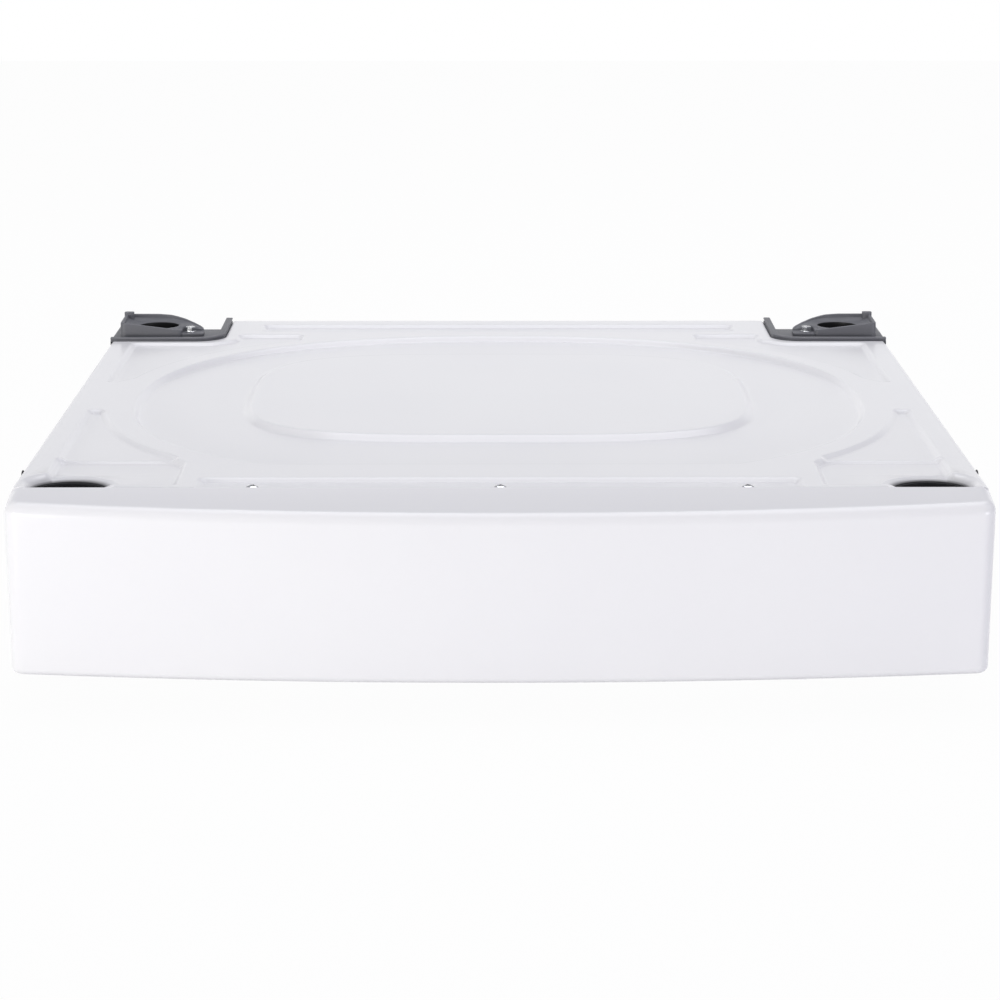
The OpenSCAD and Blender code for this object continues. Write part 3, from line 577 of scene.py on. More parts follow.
LIP_STRIP = 1.5
TOP_R, LOW_R, DRAFT = 8, 5, PANEL_H * math.tan(math.radians(0.8))
plan = panel_plan(TOP_R + LIP_STRIP)
plan_mesh = bpy.data.meshes.new("panel_plan")
plan_mesh.from_pydata([place(x, y, 0) for x, y in plan], [(i, i + 1) for i in range(len(plan) - 1)], [])
print("plan points", len(plan), "bow radius", round(BOW_R), "mm")


# %% The tree that sweeps the section along the plan
def new_tree(name, inputs):
    tree = bpy.data.node_groups.new(name, "GeometryNodeTree")
    tree.interface.new_socket("Geometry", in_out="INPUT", socket_type="NodeSocketGeometry")
    tree.interface.new_socket("Geometry", in_out="OUTPUT", socket_type="NodeSocketGeometry")
    for label, kind, value in inputs:
        socket = tree.interface.new_socket(label, in_out="INPUT", socket_type="NodeSocket" + kind)
        if value is not None:
            socket.default_value = value
    given = add(tree, "NodeGroupInput")
    return tree, given


def end_tree(tree, geometry, material_socket):
    real = add(tree, "GeometryNodeRealizeInstances", {"Geometry": geometry})
    dressed = add(tree, "GeometryNodeSetMaterial", {"Geometry": real.outputs[0], "Material": material_socket})
    add(tree, "NodeGroupOutput", {"Geometry": dressed.outputs[0]})


def grown(mesh, tree, values):
    """The mesh that the tree makes from a base mesh, with its named inputs set."""
    helper = bpy.data.objects.new("helper", mesh)
    bpy.context.scene.collection.objects.link(helper)
    modifier = helper.modifiers.new("tree", "NODES")
    modifier.node_group = tree
    for item in tree.interface.items_tree:
        if item.item_type == "SOCKET" and item.in_out == "INPUT" and item.name in values:
            modifier[item.identifier] = values[item.name]
    helper.update_tag()
    graph = bpy.context.evaluated_depsgraph_get()
    result = bpy.data.meshes.new_from_object(helper.evaluated_get(graph), depsgraph=graph)
    helper.modifiers.remove(modifier)
    bpy.data.objects.remove(helper)
    return result


LIP_SLOPE, TILT_LOW, TILT_HIGH = 7.6, -126, -8
SHELL_SIZES = {"Height": PANEL_H / 1000, "Strip": LIP_STRIP / 1000, "Top radius": TOP_R / 1000,
               "Lower radius": LOW_R / 1000, "Draft": DRAFT / 1000,
               "Lip slope": math.tan(math.radians(LIP_SLOPE)), "Lip line": LIP_Y / 1000,
               "Deck plane": DECK_Z / 1000}
tree, given = new_tree("bowed_shell", [(label, "Float", size) for label, size in SHELL_SIZES.items()]
                       + [("Material", "Material", None)])
g = given.outputs
reach = add(tree, MATH, [g["Strip"], g["Top radius"]], operation="ADD")
foot_x = add(tree, MATH, [reach, g["Draft"]], operation="SUBTRACT")
top_corner = add(tree, "ShaderNodeCombineXYZ", {"X": reach, "Y": 0.0})
low_corner = add(tree, "ShaderNodeCombineXYZ", {"X": foot_x, "Y": g["Height"]})
low_end = add(tree, "ShaderNodeCombineXYZ", {"X": 0.0004, "Y": g["Height"]})
quad = add(tree, "GeometryNodeCurvePrimitiveQuadrilateral", mode="POINTS")
quad.inputs["Point 1"].default_value = (0, 0, 0)
for i, corner in enumerate((top_corner, low_corner, low_end), 2):
    tree.links.new(corner.outputs[0], quad.inputs[f"Point {i}"])
section = add(tree, "GeometryNodeSetSplineCyclic", {"Geometry": quad.outputs[0], "Cyclic": False})
index = add(tree, "GeometryNodeInputIndex").outputs[0]
is_top = add(tree, "FunctionNodeCompare", {2: index, 3: 1}, data_type="INT", operation="EQUAL")
fillet_r = add(tree, "GeometryNodeSwitch", {"Switch": is_top.outputs[0], "False": g["Lower radius"],
                                            "True": g["Top radius"]}, input_type="FLOAT")
filleted = add(tree, "GeometryNodeFilletCurve", {"Curve": section.outputs[0], "Radius": fillet_r.outputs[0],
                                                 "Count": 10}, mode="POLY")
path = add(tree, "GeometryNodeMeshToCurve", {"Mesh": g["Geometry"]})
upright = add(tree, "GeometryNodeSetCurveNormal", {"Curve": path.outputs[0]}, mode="Z_UP")
swept = add(tree, "GeometryNodeCurveToMesh", {"Curve": upright.outputs[0],
                                              "Profile Curve": filleted.outputs[0]})
ring_line = add(tree, "GeometryNodeSetSplineCyclic", {"Geometry": path.outputs[0], "Cyclic": True})
filled = add(tree, "GeometryNodeFillCurve", {"Curve": ring_line.outputs[0]}, mode="NGONS")
raised = add(tree, "ShaderNodeCombineXYZ", {"Z": g["Deck plane"]})
lip = add(tree, "GeometryNodeSetPosition", {"Geometry": filled.outputs[0], "Offset": raised.outputs[0]})
both = add(tree, "GeometryNodeJoinGeometry")
tree.links.new(lip.outputs[0], both.inputs[0])
tree.links.new(swept.outputs[0], both.inputs[0])
welded = add(tree, "GeometryNodeMergeByDistance", {"Geometry": both.outputs[0], "Distance": 0.00002})
spot = add(tree, "ShaderNodeSeparateXYZ", {"Vector": add(tree, "GeometryNodeInputPosition").outputs[0]})
below = add(tree, MATH, [spot.outputs["Z"], g["Deck plane"]], operation="SUBTRACT")
share = add(tree, "ShaderNodeMapRange", {"Value": below, "From Min": TILT_LOW / 1000,
                                         "From Max": TILT_HIGH / 1000})
forward = add(tree, MATH, [spot.outputs["Y"], g["Lip line"]], operation="SUBTRACT")
sloped = add(tree, MATH, [forward, g["Lip slope"]], operation="MULTIPLY")
fall = add(tree, MATH, [sloped, share], operation="MULTIPLY")
tilted = add(tree, "GeometryNodeSetPosition", {
    "Geometry": welded.outputs[0], "Offset": add(tree, "ShaderNodeCombineXYZ", {"Z": fall}).outputs[0]})
end_tree(tree, tilted.outputs[0], g["Material"])
shell = grown(plan_mesh, tree, SHELL_SIZES | {"Material": white_enamel})
print("tree nodes", len(tree.nodes), "shell points", len(shell.vertices))


# %% Hollow the lip
def dished(mesh, depth, cuts=10):
    """The lip with a slight hollow: cut into strips along the width, and lowered most half way to the front."""
    bm = bmesh.new()
    bm.from_mesh(mesh)
    for i in range(1, cuts):
        bmesh.ops.bisect_plane(bm, geom=bm.verts[:] + bm.edges[:] + bm.faces[:], dist=1e-7,
                               plane_co=(0, (LIP_Y - PANEL_D * i / cuts) / 1000, 0), plane_no=(0, 1, 0))
    for v in bm.verts:
        d = (LIP_Y - 1000 * v.co.y) / PANEL_D
        share = min(1, max(0, (1000 * v.co.z - DECK_Z - TILT_LOW) / (TILT_HIGH - TILT_LOW)))
        v.co.z -= share * 4 * depth * max(0, d * (1 - d)) / 1000
    bm.to_mesh(mesh)
    bm.free()
    return mesh


shell = dished(shell, 0.8)
print("shell points with the lip's strips", len(shell.vertices))


# %% [markdown]
# ## The panel's hidden side
# Behind the face are the folds that hold the panel: a flange under the deck's front edge that the deck screws
# grip, a tongue down each side for the side screw, a return along the lower edge, and two tabs that reach
# back under the front rail. They are plain folded strips, so each is a box with its cut edges softened.


# %% Folded strips behind the panel
def add_box(bm, low, high):
    """A closed box between two corners that are given as across, along and up."""
    a, b = place(*low), place(*high)
    bmesh.ops.create_cube(bm, size=1.0, matrix=Matrix.LocRotScale((a + b) / 2, None, b - a))


def add_slab(bm, outline, bottom, top):
    """A closed plate with an outline in millimetres, between two heights."""
    low = [bm.verts.new(place(x, y, bottom)) for x, y in outline]
    high = [bm.verts.new(place(x, y, top)) for x, y in outline]
    n = len(outline)
    bm.faces.new(high)
    bm.faces.new(low[::-1])
    for i in range(n):
        bm.faces.new((low[i], low[(i + 1) % n], high[(i + 1) % n], high[i]))


def mesh_from(bm, name):
    mesh = bpy.data.meshes.new(name)
    bmesh.ops.recalc_face_normals(bm, faces=bm.faces)
    bm.to_mesh(mesh)
    bm.free()
    return mesh


def soft(mesh, width_mm, segments=2, angle=35):
    return baked(mesh, ("BEVEL", {"width": width_mm / 1000, "segments": segments, "limit_method": "ANGLE",
                                  "angle_limit": math.radians(angle), "harden_normals": False}))


PANEL_GAUGE, FLANGE_HALF = 1.5, 212
STRIPS = {"side tongue": ((349.6, -16, -20), (351.1, 72, -4)),
          "foot of the tongue": ((349.6, -16, -20), (354.4, -14.5, -11)),
          "tab under the rail": ((180, -44, -132), (220, 32.4, -130.8))}
bm = bmesh.new()
add_box(bm, (-FLANGE_HALF, -1.5, -5.7), (FLANGE_HALF, 20, -4.2))
add_box(bm, (-FLANGE_HALF, -1.5, -5.7), (FLANGE_HALF, 0, -0.4))
for side in (-1, 1):
    for low, high in STRIPS.values():
        x0, x1 = sorted((side * low[0], side * high[0]))
        add_box(bm, (x0, *low[1:]), (x1, *high[1:]))
outer = [p for p in panel_plan(9.3) if p[1] < -31.0]
inner = [p for p in panel_plan(20) if p[1] < -21.0]
add_slab(bm, outer + inner[::-1], -132, -130.6)
strips = soft(mesh_from(bm, "panel_strips"), 0.3)
shell_solid = baked(shell, ("SOLIDIFY", {"thickness": PANEL_GAUGE / 1000, "offset": -1.0,
                                         "use_even_offset": True}))


def joined(name, meshes):
    bm = bmesh.new()
    for mesh in meshes:
        bm.from_mesh(mesh)
    mesh = bpy.data.meshes.new(name)
    bm.to_mesh(mesh)
    bm.free()
    return mesh


panel_mesh = joined("bowed_panel", [shell_solid, strips])
solid("bowed_front_panel", panel_mesh, white_enamel, ["front_panel"], auto=40)
print("panel triangles", sum(len(p.vertices) - 2 for p in panel_mesh.polygons))

# %% [markdown]
# ## Folded walls, rails, posts and stiffeners
# These pieces already have the right shape in the model: sheet steel, sheared and folded. What they lack is the
# small rounding that shearing and folding leave on every edge, which draws a fine highlight. Each is a copy of
# its node, with loose triangles merged, flat faces joined, and the edges bevelled.


# %% Soften the edges of the folded pieces
def merged_copy(node):
    bm = bmesh.new()
    bm.from_mesh(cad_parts[node].data)
    bmesh.ops.remove_doubles(bm, verts=bm.verts, dist=0.00001)
    bmesh.ops.dissolve_limit(bm, angle_limit=math.radians(1.0), verts=bm.verts, edges=bm.edges)
    mesh = bpy.data.meshes.new(node)
    bm.to_mesh(mesh)
    bm.free()
    return mesh


def edged(node, material, width_mm):
    solid(node + "_edged", soft(merged_copy(node), width_mm), material, [node], auto=40)


folded = {"left_side_panel": 0.35, "right_side_panel": 0.35, "rear_panel": 0.35}
framed = {"base_front_rail": 0.6, "base_rear_rail": 0.6, "left_deck_stiffener": 0.4,
          "right_deck_stiffener": 0.4, "front_left_post": 0.6, "front_right_post": 0.6,
          "rear_left_post": 0.6, "rear_right_post": 0.6}
for node, width in folded.items():
    edged(node, white_enamel, width)
for node, width in framed.items():
    edged(node, galvanised_sheet, width)
print("softened", len(folded) + len(framed), "folded pieces")

# %% [markdown]
# ## Corner brackets
# A dark bracket fills each notch of the deck. It is one plate with a low rim along the front and along the
# deck, 6 mm wide and 3 mm high, which sweeps round the corner between them in a broad curve. A groove along
# the rim's side draws the thin dark line between bracket and deck. A path with that curve and a rounded
# section makes the rim, and the plate is cut to the same curve.

# %% Corner brackets with a swept rim
RIM_T, NOTCH_GAP = 3.0, 0.3
RIM_TURN = CORNER_TURN - NOTCH_GAP - RIM_T / 2
BRACKET_OUT, BRACKET_BACK = 355.3, 688.0


def rim_path(x0, y0, x1, y1, radius, steps=12):
    """From the outer end along the front, round the corner, and back along the deck."""
    arc = [(x0 + radius - radius * math.sin(a), y0 + radius - radius * math.cos(a))
           for a in (math.pi / 2 * i / steps for i in range(steps + 1))]
    return [(x1, y0)] + arc + [(x0, y1)]


def sweep(bm, path, section):
    """Carries a section, as pairs of sideways and up, along a flat path and closes both ends."""
    rows = []
    for i, here in enumerate(path):
        before, after = Vector(path[max(i - 1, 0)]), Vector(path[min(i + 1, len(path) - 1)])
        u = (Vector(here) - before).normalized() if i else (after - Vector(here)).normalized()
        v = (after - Vector(here)).normalized() if i < len(path) - 1 else u
        side = Vector((-(u + v).y, (u + v).x)).normalized()
        side /= max(0.5, side.dot(Vector((-u.y, u.x))))
        rows.append([bm.verts.new(place(here[0] + side.x * s, here[1] + side.y * s, up))
                     for s, up in section])
    n = len(section)
    for a, b in zip(rows, rows[1:]):
        for j in range(n):
            bm.faces.new((a[j], a[(j + 1) % n], b[(j + 1) % n], b[j]))
    bm.faces.new(rows[0])
    bm.faces.new(rows[-1][::-1])


def bracket_mesh():
    x0, y0 = NOTCH_X + NOTCH_GAP + RIM_T / 2, NOTCH_Y + NOTCH_GAP + RIM_T / 2
    rim_section = [(-4.5, -3), (1.5, -3), (1.5, -0.2), (0.4, 0.1), (0.4, 1.2), (1.5, 1.5), (1.5, 2.5),
                   (1.35, 2.85), (1.0, 3.0), (-4.0, 3.0), (-4.35, 2.85), (-4.5, 2.5)]
    bm = bmesh.new()
    path = rim_path(x0, y0, BRACKET_OUT, DECK_L, RIM_TURN)
    sweep(bm, path, rim_section)
    curve = [(x, y) for x, y in path[1:-1]]
    plate = ([(BRACKET_OUT, y0)] + curve + [(x0, 675), (x0 + 24, 675), (x0 + 30, BRACKET_BACK),
                                            (BRACKET_OUT, BRACKET_BACK)])
    add_slab(bm, plate, -3.0, 0.0)
    add_box(bm, (x0 - 1.5, y0 + RIM_TURN, -12), (x0 + 1.5, DECK_L, -2.5))
    add_box(bm, (352.3, y0 - 1.5, -30), (BRACKET_OUT, BRACKET_BACK, -0.5))
    return soft(mesh_from(bm, "corner_bracket"), 0.45)


def flipped(mesh):
    """The other hand of a mesh, mirrored across the middle of the riser."""
    other = mesh.copy()
    other.transform(Matrix.Scale(-1, 4, (1, 0, 0)))
    other.flip_normals()
    return other


right_bracket = bracket_mesh()
solid("rear_right_corner_bracket", right_bracket, grey_powder_coat,
      ["rear_right_bracket"], auto=40)
solid("rear_left_corner_bracket", flipped(right_bracket), grey_powder_coat,
      ["rear_left_bracket"], auto=40)
print("bracket faces", len(right_bracket.polygons))

# %% [markdown]
# ## Rear foot cups
# Each cup is moulded in plastic: a wall with a D-shaped plan stands round a bowl that leads the machine's foot
# into a round hole. Its rim stays nearly level at the back and falls towards the middle along the front, and a
# flat ear at the inner end takes the bolt. Every point of the rim can be seen from the hole's centre, so the
# cup is built as loops of the same number of points, from the outside wall over the rim and down to the hole.
# Low in the hole the plastic is painted near black, a painted shade for the depth of the hole.

# %% Rear foot cup as loops round its hole
CUP_X, CUP_Y, CUP_HOLE, CUP_TOP = 315, 657, 18, 13.5
BOLT_X, BOLT_Y = CUP_X - 30, CUP_Y - 13
CUP_WALL, BOWL_TOP, EAR_T = 3.2, 7.0, 3.0


def arc_points(x, y, radius, degrees):
    """Points at the given angles round a centre."""
    return [(x + radius * math.cos(a), y + radius * math.sin(a)) for a in np.radians(degrees)]


cup_back = arc_points(-5, -11, 38, [90, 105, 120, 135, 150, 162, 172.7])
cup_notch = arc_points(-30, -13, 6.8, [90, 72, 54, 36, 18, 0])
cup_corners = [(-23.2, -24), (34, -24), (34, 27)] + cup_back + cup_notch


def stepped(outline, step):
    """The outline with points added, so that no two are further apart than a step."""
    result = []
    for p, q in zip(outline, outline[1:] + outline[:1]):
        n = max(1, math.ceil(math.dist(p, q) / step))
        result += [(p[0] + (q[0] - p[0]) * i / n, p[1] + (q[1] - p[1]) * i / n) for i in range(n)]
    return result


cup_plan = stepped(rounded(cup_corners, [3.5, 4.5, 4.5] + [3.5] * (len(cup_corners) - 3)), 1.4)
print("cup plan", len(cup_plan), "points")


# %% Height of the cup's rim, and its mesh
def rim_height(x, y):
    """Height of the rim: nearly level at the back, and falling towards the middle along the front."""
    front = np.interp(x, [-43, -30, -20.7, 28, 34], [3.0, 4.5, 6.4, 12.5, 13.3])
    back = np.interp(x, [-43, -36.4, -29.7, -21.4, -9, 3, 34], [4.8, 5.8, 7.5, 9.9, 12.6, 13.4, 13.5])
    t = ease((y + 16) / 18)
    return front + (back - front) * t


def cup_mesh():
    bm = bmesh.new()
    loops = []
    inner = drawn_in(cup_plan, CUP_WALL)
    around = [math.atan2(y, x) for x, y in inner]

    def loop(points, height):
        loops.append([bm.verts.new(place(CUP_X + x, CUP_Y + y, height(x, y))) for x, y in points])

    def ring_of(radius):
        return [(radius * math.cos(a), radius * math.sin(a)) for a in around]

    loop(ring_of(CUP_HOLE), lambda x, y: 0)
    loop(cup_plan, lambda x, y: 0)
    loop(cup_plan, lambda x, y: 0.6)
    for out, down in ((0.35, 0.9), (0.5, 0.4), (0.9, 0.12), (1.4, 0.0), (2.2, 0.0), (2.7, 0.15), (3.1, 0.5)):
        loop(drawn_in(cup_plan, out), lambda x, y, down=down: rim_height(x, y) - down)
    for share in (0.04, 0.12, 0.35, 0.6, 0.85, 1.0):
        s = share * 0.8 + 0.2 * share ** 2
        loop([(p[0] + (q[0] - p[0]) * s, p[1] + (q[1] - p[1]) * s)
              for p, q in zip(inner, ring_of(CUP_HOLE + 0.6))],
             lambda x, y, share=share: BOWL_TOP + (rim_height(x, y) - 8.4) * (1 - share) ** 1.7 * 0.75)
    loop(ring_of(CUP_HOLE + 0.15), lambda x, y: 6.75)
    loop(ring_of(CUP_HOLE), lambda x, y: 6.3)
    n = len(cup_plan)
    for a, b in zip(loops, loops[1:] + loops[:1]):
        for i in range(n):
            bm.faces.new((a[i], a[(i + 1) % n], b[(i + 1) % n], b[i]))
    ear = rounded([(BOLT_X - 13, BOLT_Y - 11), (BOLT_X + 8, BOLT_Y - 11), (BOLT_X + 8, BOLT_Y + 9),
                   (BOLT_X - 12, BOLT_Y + 9)], 3)
    add_slab(bm, ear, 0, EAR_T)
    lug = rounded([(CUP_X + x, CUP_Y + y)
                   for x, y in ((25.8, 18.4), (34.6, 18.4), (34.6, 26.8), (25.8, 26.8))], 2.6)
    add_slab(bm, lug, 2.0, CUP_TOP + 2)
    return soft(mesh_from(bm, "foot_cup"), 0.3, 2, 50)


# Painted shade: the cup's plastic turns near black low in its hole.
paint_shade_in_hole(grey_plastic, "#0c0c0d", place(CUP_X, CUP_Y, 0), 18.3, 7.0, 6.2)
right_cup = cup_mesh()
solid("rear_right_moulded_cup", right_cup, grey_plastic, ["rear_right_foot_cup"], auto=38)
solid("rear_left_moulded_cup", flipped(right_cup), grey_plastic,
      ["rear_left_foot_cup"], auto=38)
print("cup triangles", sum(len(p.vertices) - 2 for p in right_cup.polygons))

# %% [markdown]
# ## Front foot wells
# Under the deck's front corners sit two black cups that are round, so an outline spun about the hole's axis
# gives them. The seat for the foot lies a little further back than the hole, clear of the panel's lip, so the
# outline's last points are spun about an axis of their own. Three low rings in the seat grip the foot.


# %% Turned pieces and the front wells
def lathe(outline, centre, steps=96):
    """Spins a closed outline of radius and height about an upright axis, moved back where a shift is given."""
    bm = bmesh.new()
    rows = []
    for i in range(steps):
        a = 2 * math.pi * i / steps
        rows.append([bm.verts.new(centre + Vector((r * math.cos(a), r * math.sin(a) + sum(shift), z)) / 1000)
                     for r, z, *shift in outline])
    n = len(outline)
    for a, b in zip(rows, rows[1:] + rows[:1]):
        for j in range(n):
            bm.faces.new((a[j], b[j], b[(j + 1) % n], a[(j + 1) % n]))
    bmesh.ops.remove_doubles(bm, verts=bm.verts, dist=1e-7)
    return mesh_from(bm, "turned")


SEAT_R, SEAT_BACK = 21, 5.5
well_outline = [(0, -23), (28.8, -23), (29.6, -22.7), (30, -22), (30, -12.9), (31.6, -12.8), (32, -12.4),
                (32, -10.7), (31.6, -10.3), (28.6, -10.3), (27.8, -10.0), (27.8, -7.0), (27.5, -6.6),
                (27.2, -6.7), (27, -7.2), (27, -13.8), (26.9, -14)]
seat_outline = [(SEAT_R + 0.3, -14), (SEAT_R, -14.3), (SEAT_R, -19.3), (SEAT_R - 0.7, -20)]
for r in (17, 12, 7):
    seat_outline += [(r + 0.4, -20), (r, -19.6), (r - 1, -19.6), (r - 1.4, -20)]
well_outline += [(r, z, SEAT_BACK) for r, z in seat_outline + [(0, -20)]]
for side, name in ((-1, "front_left"), (1, "front_right")):
    mesh = lathe(well_outline, place(side * WELL_X, WELL_Y, 0))
    solid(name + "_moulded_well", mesh, black_plastic, [name + "_foot_cup"])
print("wells at", WELL_X, "mm out")

# %% [markdown]
# ## Screws, bolts, washers and nuts
# Fasteners repeat, so each kind is made once at the origin and a small Geometry Nodes tree sets copies of it on
# points. Every point carries the direction of its axis, and a seeded random spin turns each copy, since no two
# screws stop at the same angle. The deck's screws are plated bright: each shows a bright crescent beside a
# dark arc against the white deck.

# %% The tree that sets a fastener on every point
set_fasteners, given = new_tree("set_fasteners", [
    ("Fastener", "Object", None), ("Seed", "Int", 7), ("Material", "Material", None)])
g = given.outputs
source = add(set_fasteners, "GeometryNodeObjectInfo", {"Object": g["Fastener"]})
axis = add(set_fasteners, "GeometryNodeInputNamedAttribute", {"Name": "axis"}, data_type="FLOAT_VECTOR")
stand = add(set_fasteners, "FunctionNodeAlignRotationToVector", {"Vector": axis.outputs[0]}, axis="Z")
spin = add(set_fasteners, "FunctionNodeRandomValue", {2: 0.0, 3: 2 * math.pi, "Seed": g["Seed"]},
           data_type="FLOAT")
twist = add(set_fasteners, "FunctionNodeEulerToRotation", {
    0: add(set_fasteners, "ShaderNodeCombineXYZ", {"Z": spin.outputs[1]}).outputs[0]})
turned = add(set_fasteners, "FunctionNodeRotateRotation", {
    "Rotation": stand.outputs[0], "Rotate By": twist.outputs[0]}, rotation_space="LOCAL")
points = add(set_fasteners, "GeometryNodeMeshToPoints", {"Mesh": g["Geometry"]})
copies = add(set_fasteners, "GeometryNodeInstanceOnPoints", {
    "Points": points.outputs[0], "Instance": source.outputs["Geometry"], "Rotation": turned.outputs[0]})
end_tree(set_fasteners, copies.outputs[0], g["Material"])


def set_out(name, fastener, spots, material, nodes, seed):
    """Sets copies of one fastener on spots, each a place and an axis, and dresses them as one piece."""
    base = bpy.data.meshes.new(name + "_places")
    base.from_pydata([p for p, _ in spots], [], [])
    base.attributes.new("axis", "FLOAT_VECTOR", "POINT").data.foreach_set(
        "vector", [c for _, a in spots for c in a])
    master = bpy.data.objects.new(name + "_master", fastener)
    bpy.context.scene.collection.objects.link(master)
    mesh = grown(base, set_fasteners, {"Fastener": master, "Seed": seed, "Material": material})
    bpy.data.objects.remove(master)
    solid(name, mesh, material, nodes)


print("tree nodes", len(set_fasteners.nodes))


# %% Shapes of the fasteners, at the origin with their axes up
def hex_radius(flats, angle):
    return flats / 2 / math.cos((angle + math.pi / 6) % (math.pi / 3) - math.pi / 6)


def hex_prism(flats, height, chamfer=0.95, bore=0.0, both_ends=False, steps=72):
    """A hexagon whose corners are turned off, as on a bolt head or nut, with a hole if bore is given."""
    rows = []
    lean = math.tan(math.radians(30))

    def row(radius, z):
        rows.append([Vector((radius(a) * math.cos(a), radius(a) * math.sin(a), z(a))) / 1000
                     for a in (2 * math.pi * i / steps for i in range(steps))])

    flat_r = chamfer * flats / 2

    def rise(a):
        return (hex_radius(flats, a) - flat_r) * lean

    row(lambda a: bore, lambda a: 0)
    if both_ends:
        row(lambda a: flat_r, lambda a: 0)
    row(lambda a: hex_radius(flats, a), rise if both_ends else lambda a: 0)
    row(lambda a: hex_radius(flats, a), lambda a: height - rise(a))
    row(lambda a: flat_r, lambda a: height)
    row(lambda a: bore, lambda a: height)
    bm = bmesh.new()
    verts = [[bm.verts.new(v) for v in r] for r in rows]
    for a, b in zip(verts, verts[1:] + ([verts[0]] if bore else [])):
        for i in range(steps):
            bm.faces.new((a[i], a[(i + 1) % steps], b[(i + 1) % steps], b[i]))
    bmesh.ops.remove_doubles(bm, verts=bm.verts, dist=1e-7)
    return mesh_from(bm, "hexagon")


def cross_cut(mesh, size, depth, top):
    """Cuts a cross recess for the driver into the top of a head."""
    bm = bmesh.new()
    for w, l in ((0.22 * size, size), (size, 0.22 * size)):
        bmesh.ops.create_cube(bm, size=1.0, matrix=Matrix.LocRotScale(
            Vector((0, 0, top)) / 1000, None, Vector((w, l, 2 * depth)) / 1000))
    cutter = bpy.data.objects.new("cutter", mesh_from(bm, "cutter"))
    bpy.context.scene.collection.objects.link(cutter)
    result = baked(mesh, ("BOOLEAN", {"operation": "DIFFERENCE", "object": cutter, "solver": "EXACT",
                                      "use_self": True}))
    bpy.data.objects.remove(cutter)
    return result


def pan_head(radius, height, length, shank=2.0):
    side = 0.45 * height
    dome = [(radius * math.cos(a), side + (height - side) * math.sin(a))
            for a in np.radians([8, 20, 35, 50, 65, 80])]
    shape = lathe([(0, -length), (shank - 0.6, -length), (shank, -length + 1.2), (shank, 0), (radius - 0.3, 0),
                   (radius, 0.25), (radius, side)] + dome + [(0, height)], Vector((0, 0, 0)), 48)
    return cross_cut(shape, radius * 1.05, height * 0.55, height)


def hex_screw(flats, height, length, shank=2.0):
    """A hexagon head on a washer face, with its shank."""
    head = hex_prism(flats, height)
    washer = lathe([(0, 0), (flats * 0.62, 0), (flats * 0.64, 0.25), (flats * 0.6, 0.6), (0, 0.6)],
                   Vector((0, 0, 0)), 48)
    rod = lathe([(0, -length), (shank - 0.6, -length), (shank, -length + 1.2), (shank, 0.3), (0, 0.3)],
                Vector((0, 0, 0)), 32)
    return joined("hex_screw", [head, washer, rod])


print("a bolt head 8 mm across its flats is", round(2 * hex_radius(8, math.pi / 6), 2), "mm over its corners")


# %% Set every fastener on its spots
UP, DOWN = (0.0, 0.0, 1.0), (0.0, 0.0, -1.0)


def at(points, up, axis=UP):
    """Spots for a fastener: points across and along, all at one height and with one axis."""
    return [(place(x, y, up), axis) for x, y in points]


set_out("deck_pan_screws", pan_head(4.8, 3.0, 12), at([(x, SCREW_Y) for x in SCREW_X], -3.0),
        bright_plate, ["deck_screws"], 3)
set_out("side_pan_screws", pan_head(4.0, 1.85, 8),
        [(place(s * DECK_HALF, 60, -4.4), (float(s), 0.0, 0.0)) for s in (-1, 1)],
        black_oxide, ["side_screws"], 5)
base_x = DECK_HALF - 1.2 - 12.5 - 4
base_spots = [(s * base_x, y) for s in (-1, 1)
              for y in (38.4, 106, NOTCH_Y + 23, NOTCH_Y + 67)] + [(s * 200, 22.4) for s in (-1, 1)]
FLOOR = -DECK_Z
RAIL_UNDER = FLOOR + 28
set_out("base_hex_screws", hex_screw(8, 3, 12), at(base_spots, RAIL_UNDER, DOWN),
        zinc_plate, ["base_screws"], 11)
bolt_spots = [(s * BOLT_X, BOLT_Y) for s in (-1, 1)]
bolt_shank = lathe([(0, -15.5), (1.9, -15.5), (2.5, -14.6), (2.5, 0.3), (0, 0.3)], Vector((0, 0, 0)), 40)
set_out("cup_hex_bolts", joined("cup_bolt", [hex_prism(8, 4), bolt_shank]), at(bolt_spots, EAR_T + 1.0),
        bright_plate, ["cup_bolts"], 13)
washer = lathe([(2.7, 0), (5.0, 0), (5.2, 0.2), (5.2, 0.8), (5.0, 1.0), (2.7, 1.0)], Vector((0, 0, 0)), 56)
set_out("cup_plain_washers", washer, at(bolt_spots, EAR_T), bright_plate,
        ["cup_washers"], 17)
set_out("cup_hex_nuts", hex_prism(8, 4.5, bore=2.55, both_ends=True), at(bolt_spots, -9.5),
        bright_plate, ["cup_nuts"], 19)
print("fasteners set out:", len(SCREW_X) + 2 + len(base_spots) + 3 * len(bolt_spots))

# %% [markdown]
# ## Levelling feet
# A foot is a threaded stem with a hexagon, standing in a rubber pad. The thread follows a rule: the radius
# rises and falls once for every turn and every pitch of 1.5875 mm, sixteen to the inch. The tree starts from a
# plain tube and moves each point by that rule, so pitch and depth stay plain inputs.

# %% Thread by rule
THREAD_L = 43
THREAD = {"Crest radius": 0.00474, "Depth": 0.0007, "Pitch": 0.0015875, "Length": THREAD_L / 1000}
tree, given = new_tree("rolled_thread", [(label, "Float", size) for label, size in THREAD.items()]
                       + [("Rows", "Int", 220), ("Material", "Material", None)])
g = given.outputs
tube = add(tree, "GeometryNodeMeshCylinder", {"Vertices": 28, "Side Segments": g["Rows"],
                                              "Radius": g["Crest radius"], "Depth": g["Length"]},
           fill_type="NGON")
where = add(tree, "GeometryNodeInputPosition")
part = add(tree, "ShaderNodeSeparateXYZ", {"Vector": where.outputs[0]})
angle = add(tree, MATH, [part.outputs["Y"], part.outputs["X"]], operation="ARCTAN2")
turn = add(tree, MATH, [angle, 2 * math.pi], operation="DIVIDE")
climb = add(tree, MATH, [part.outputs["Z"], g["Pitch"]], operation="DIVIDE")
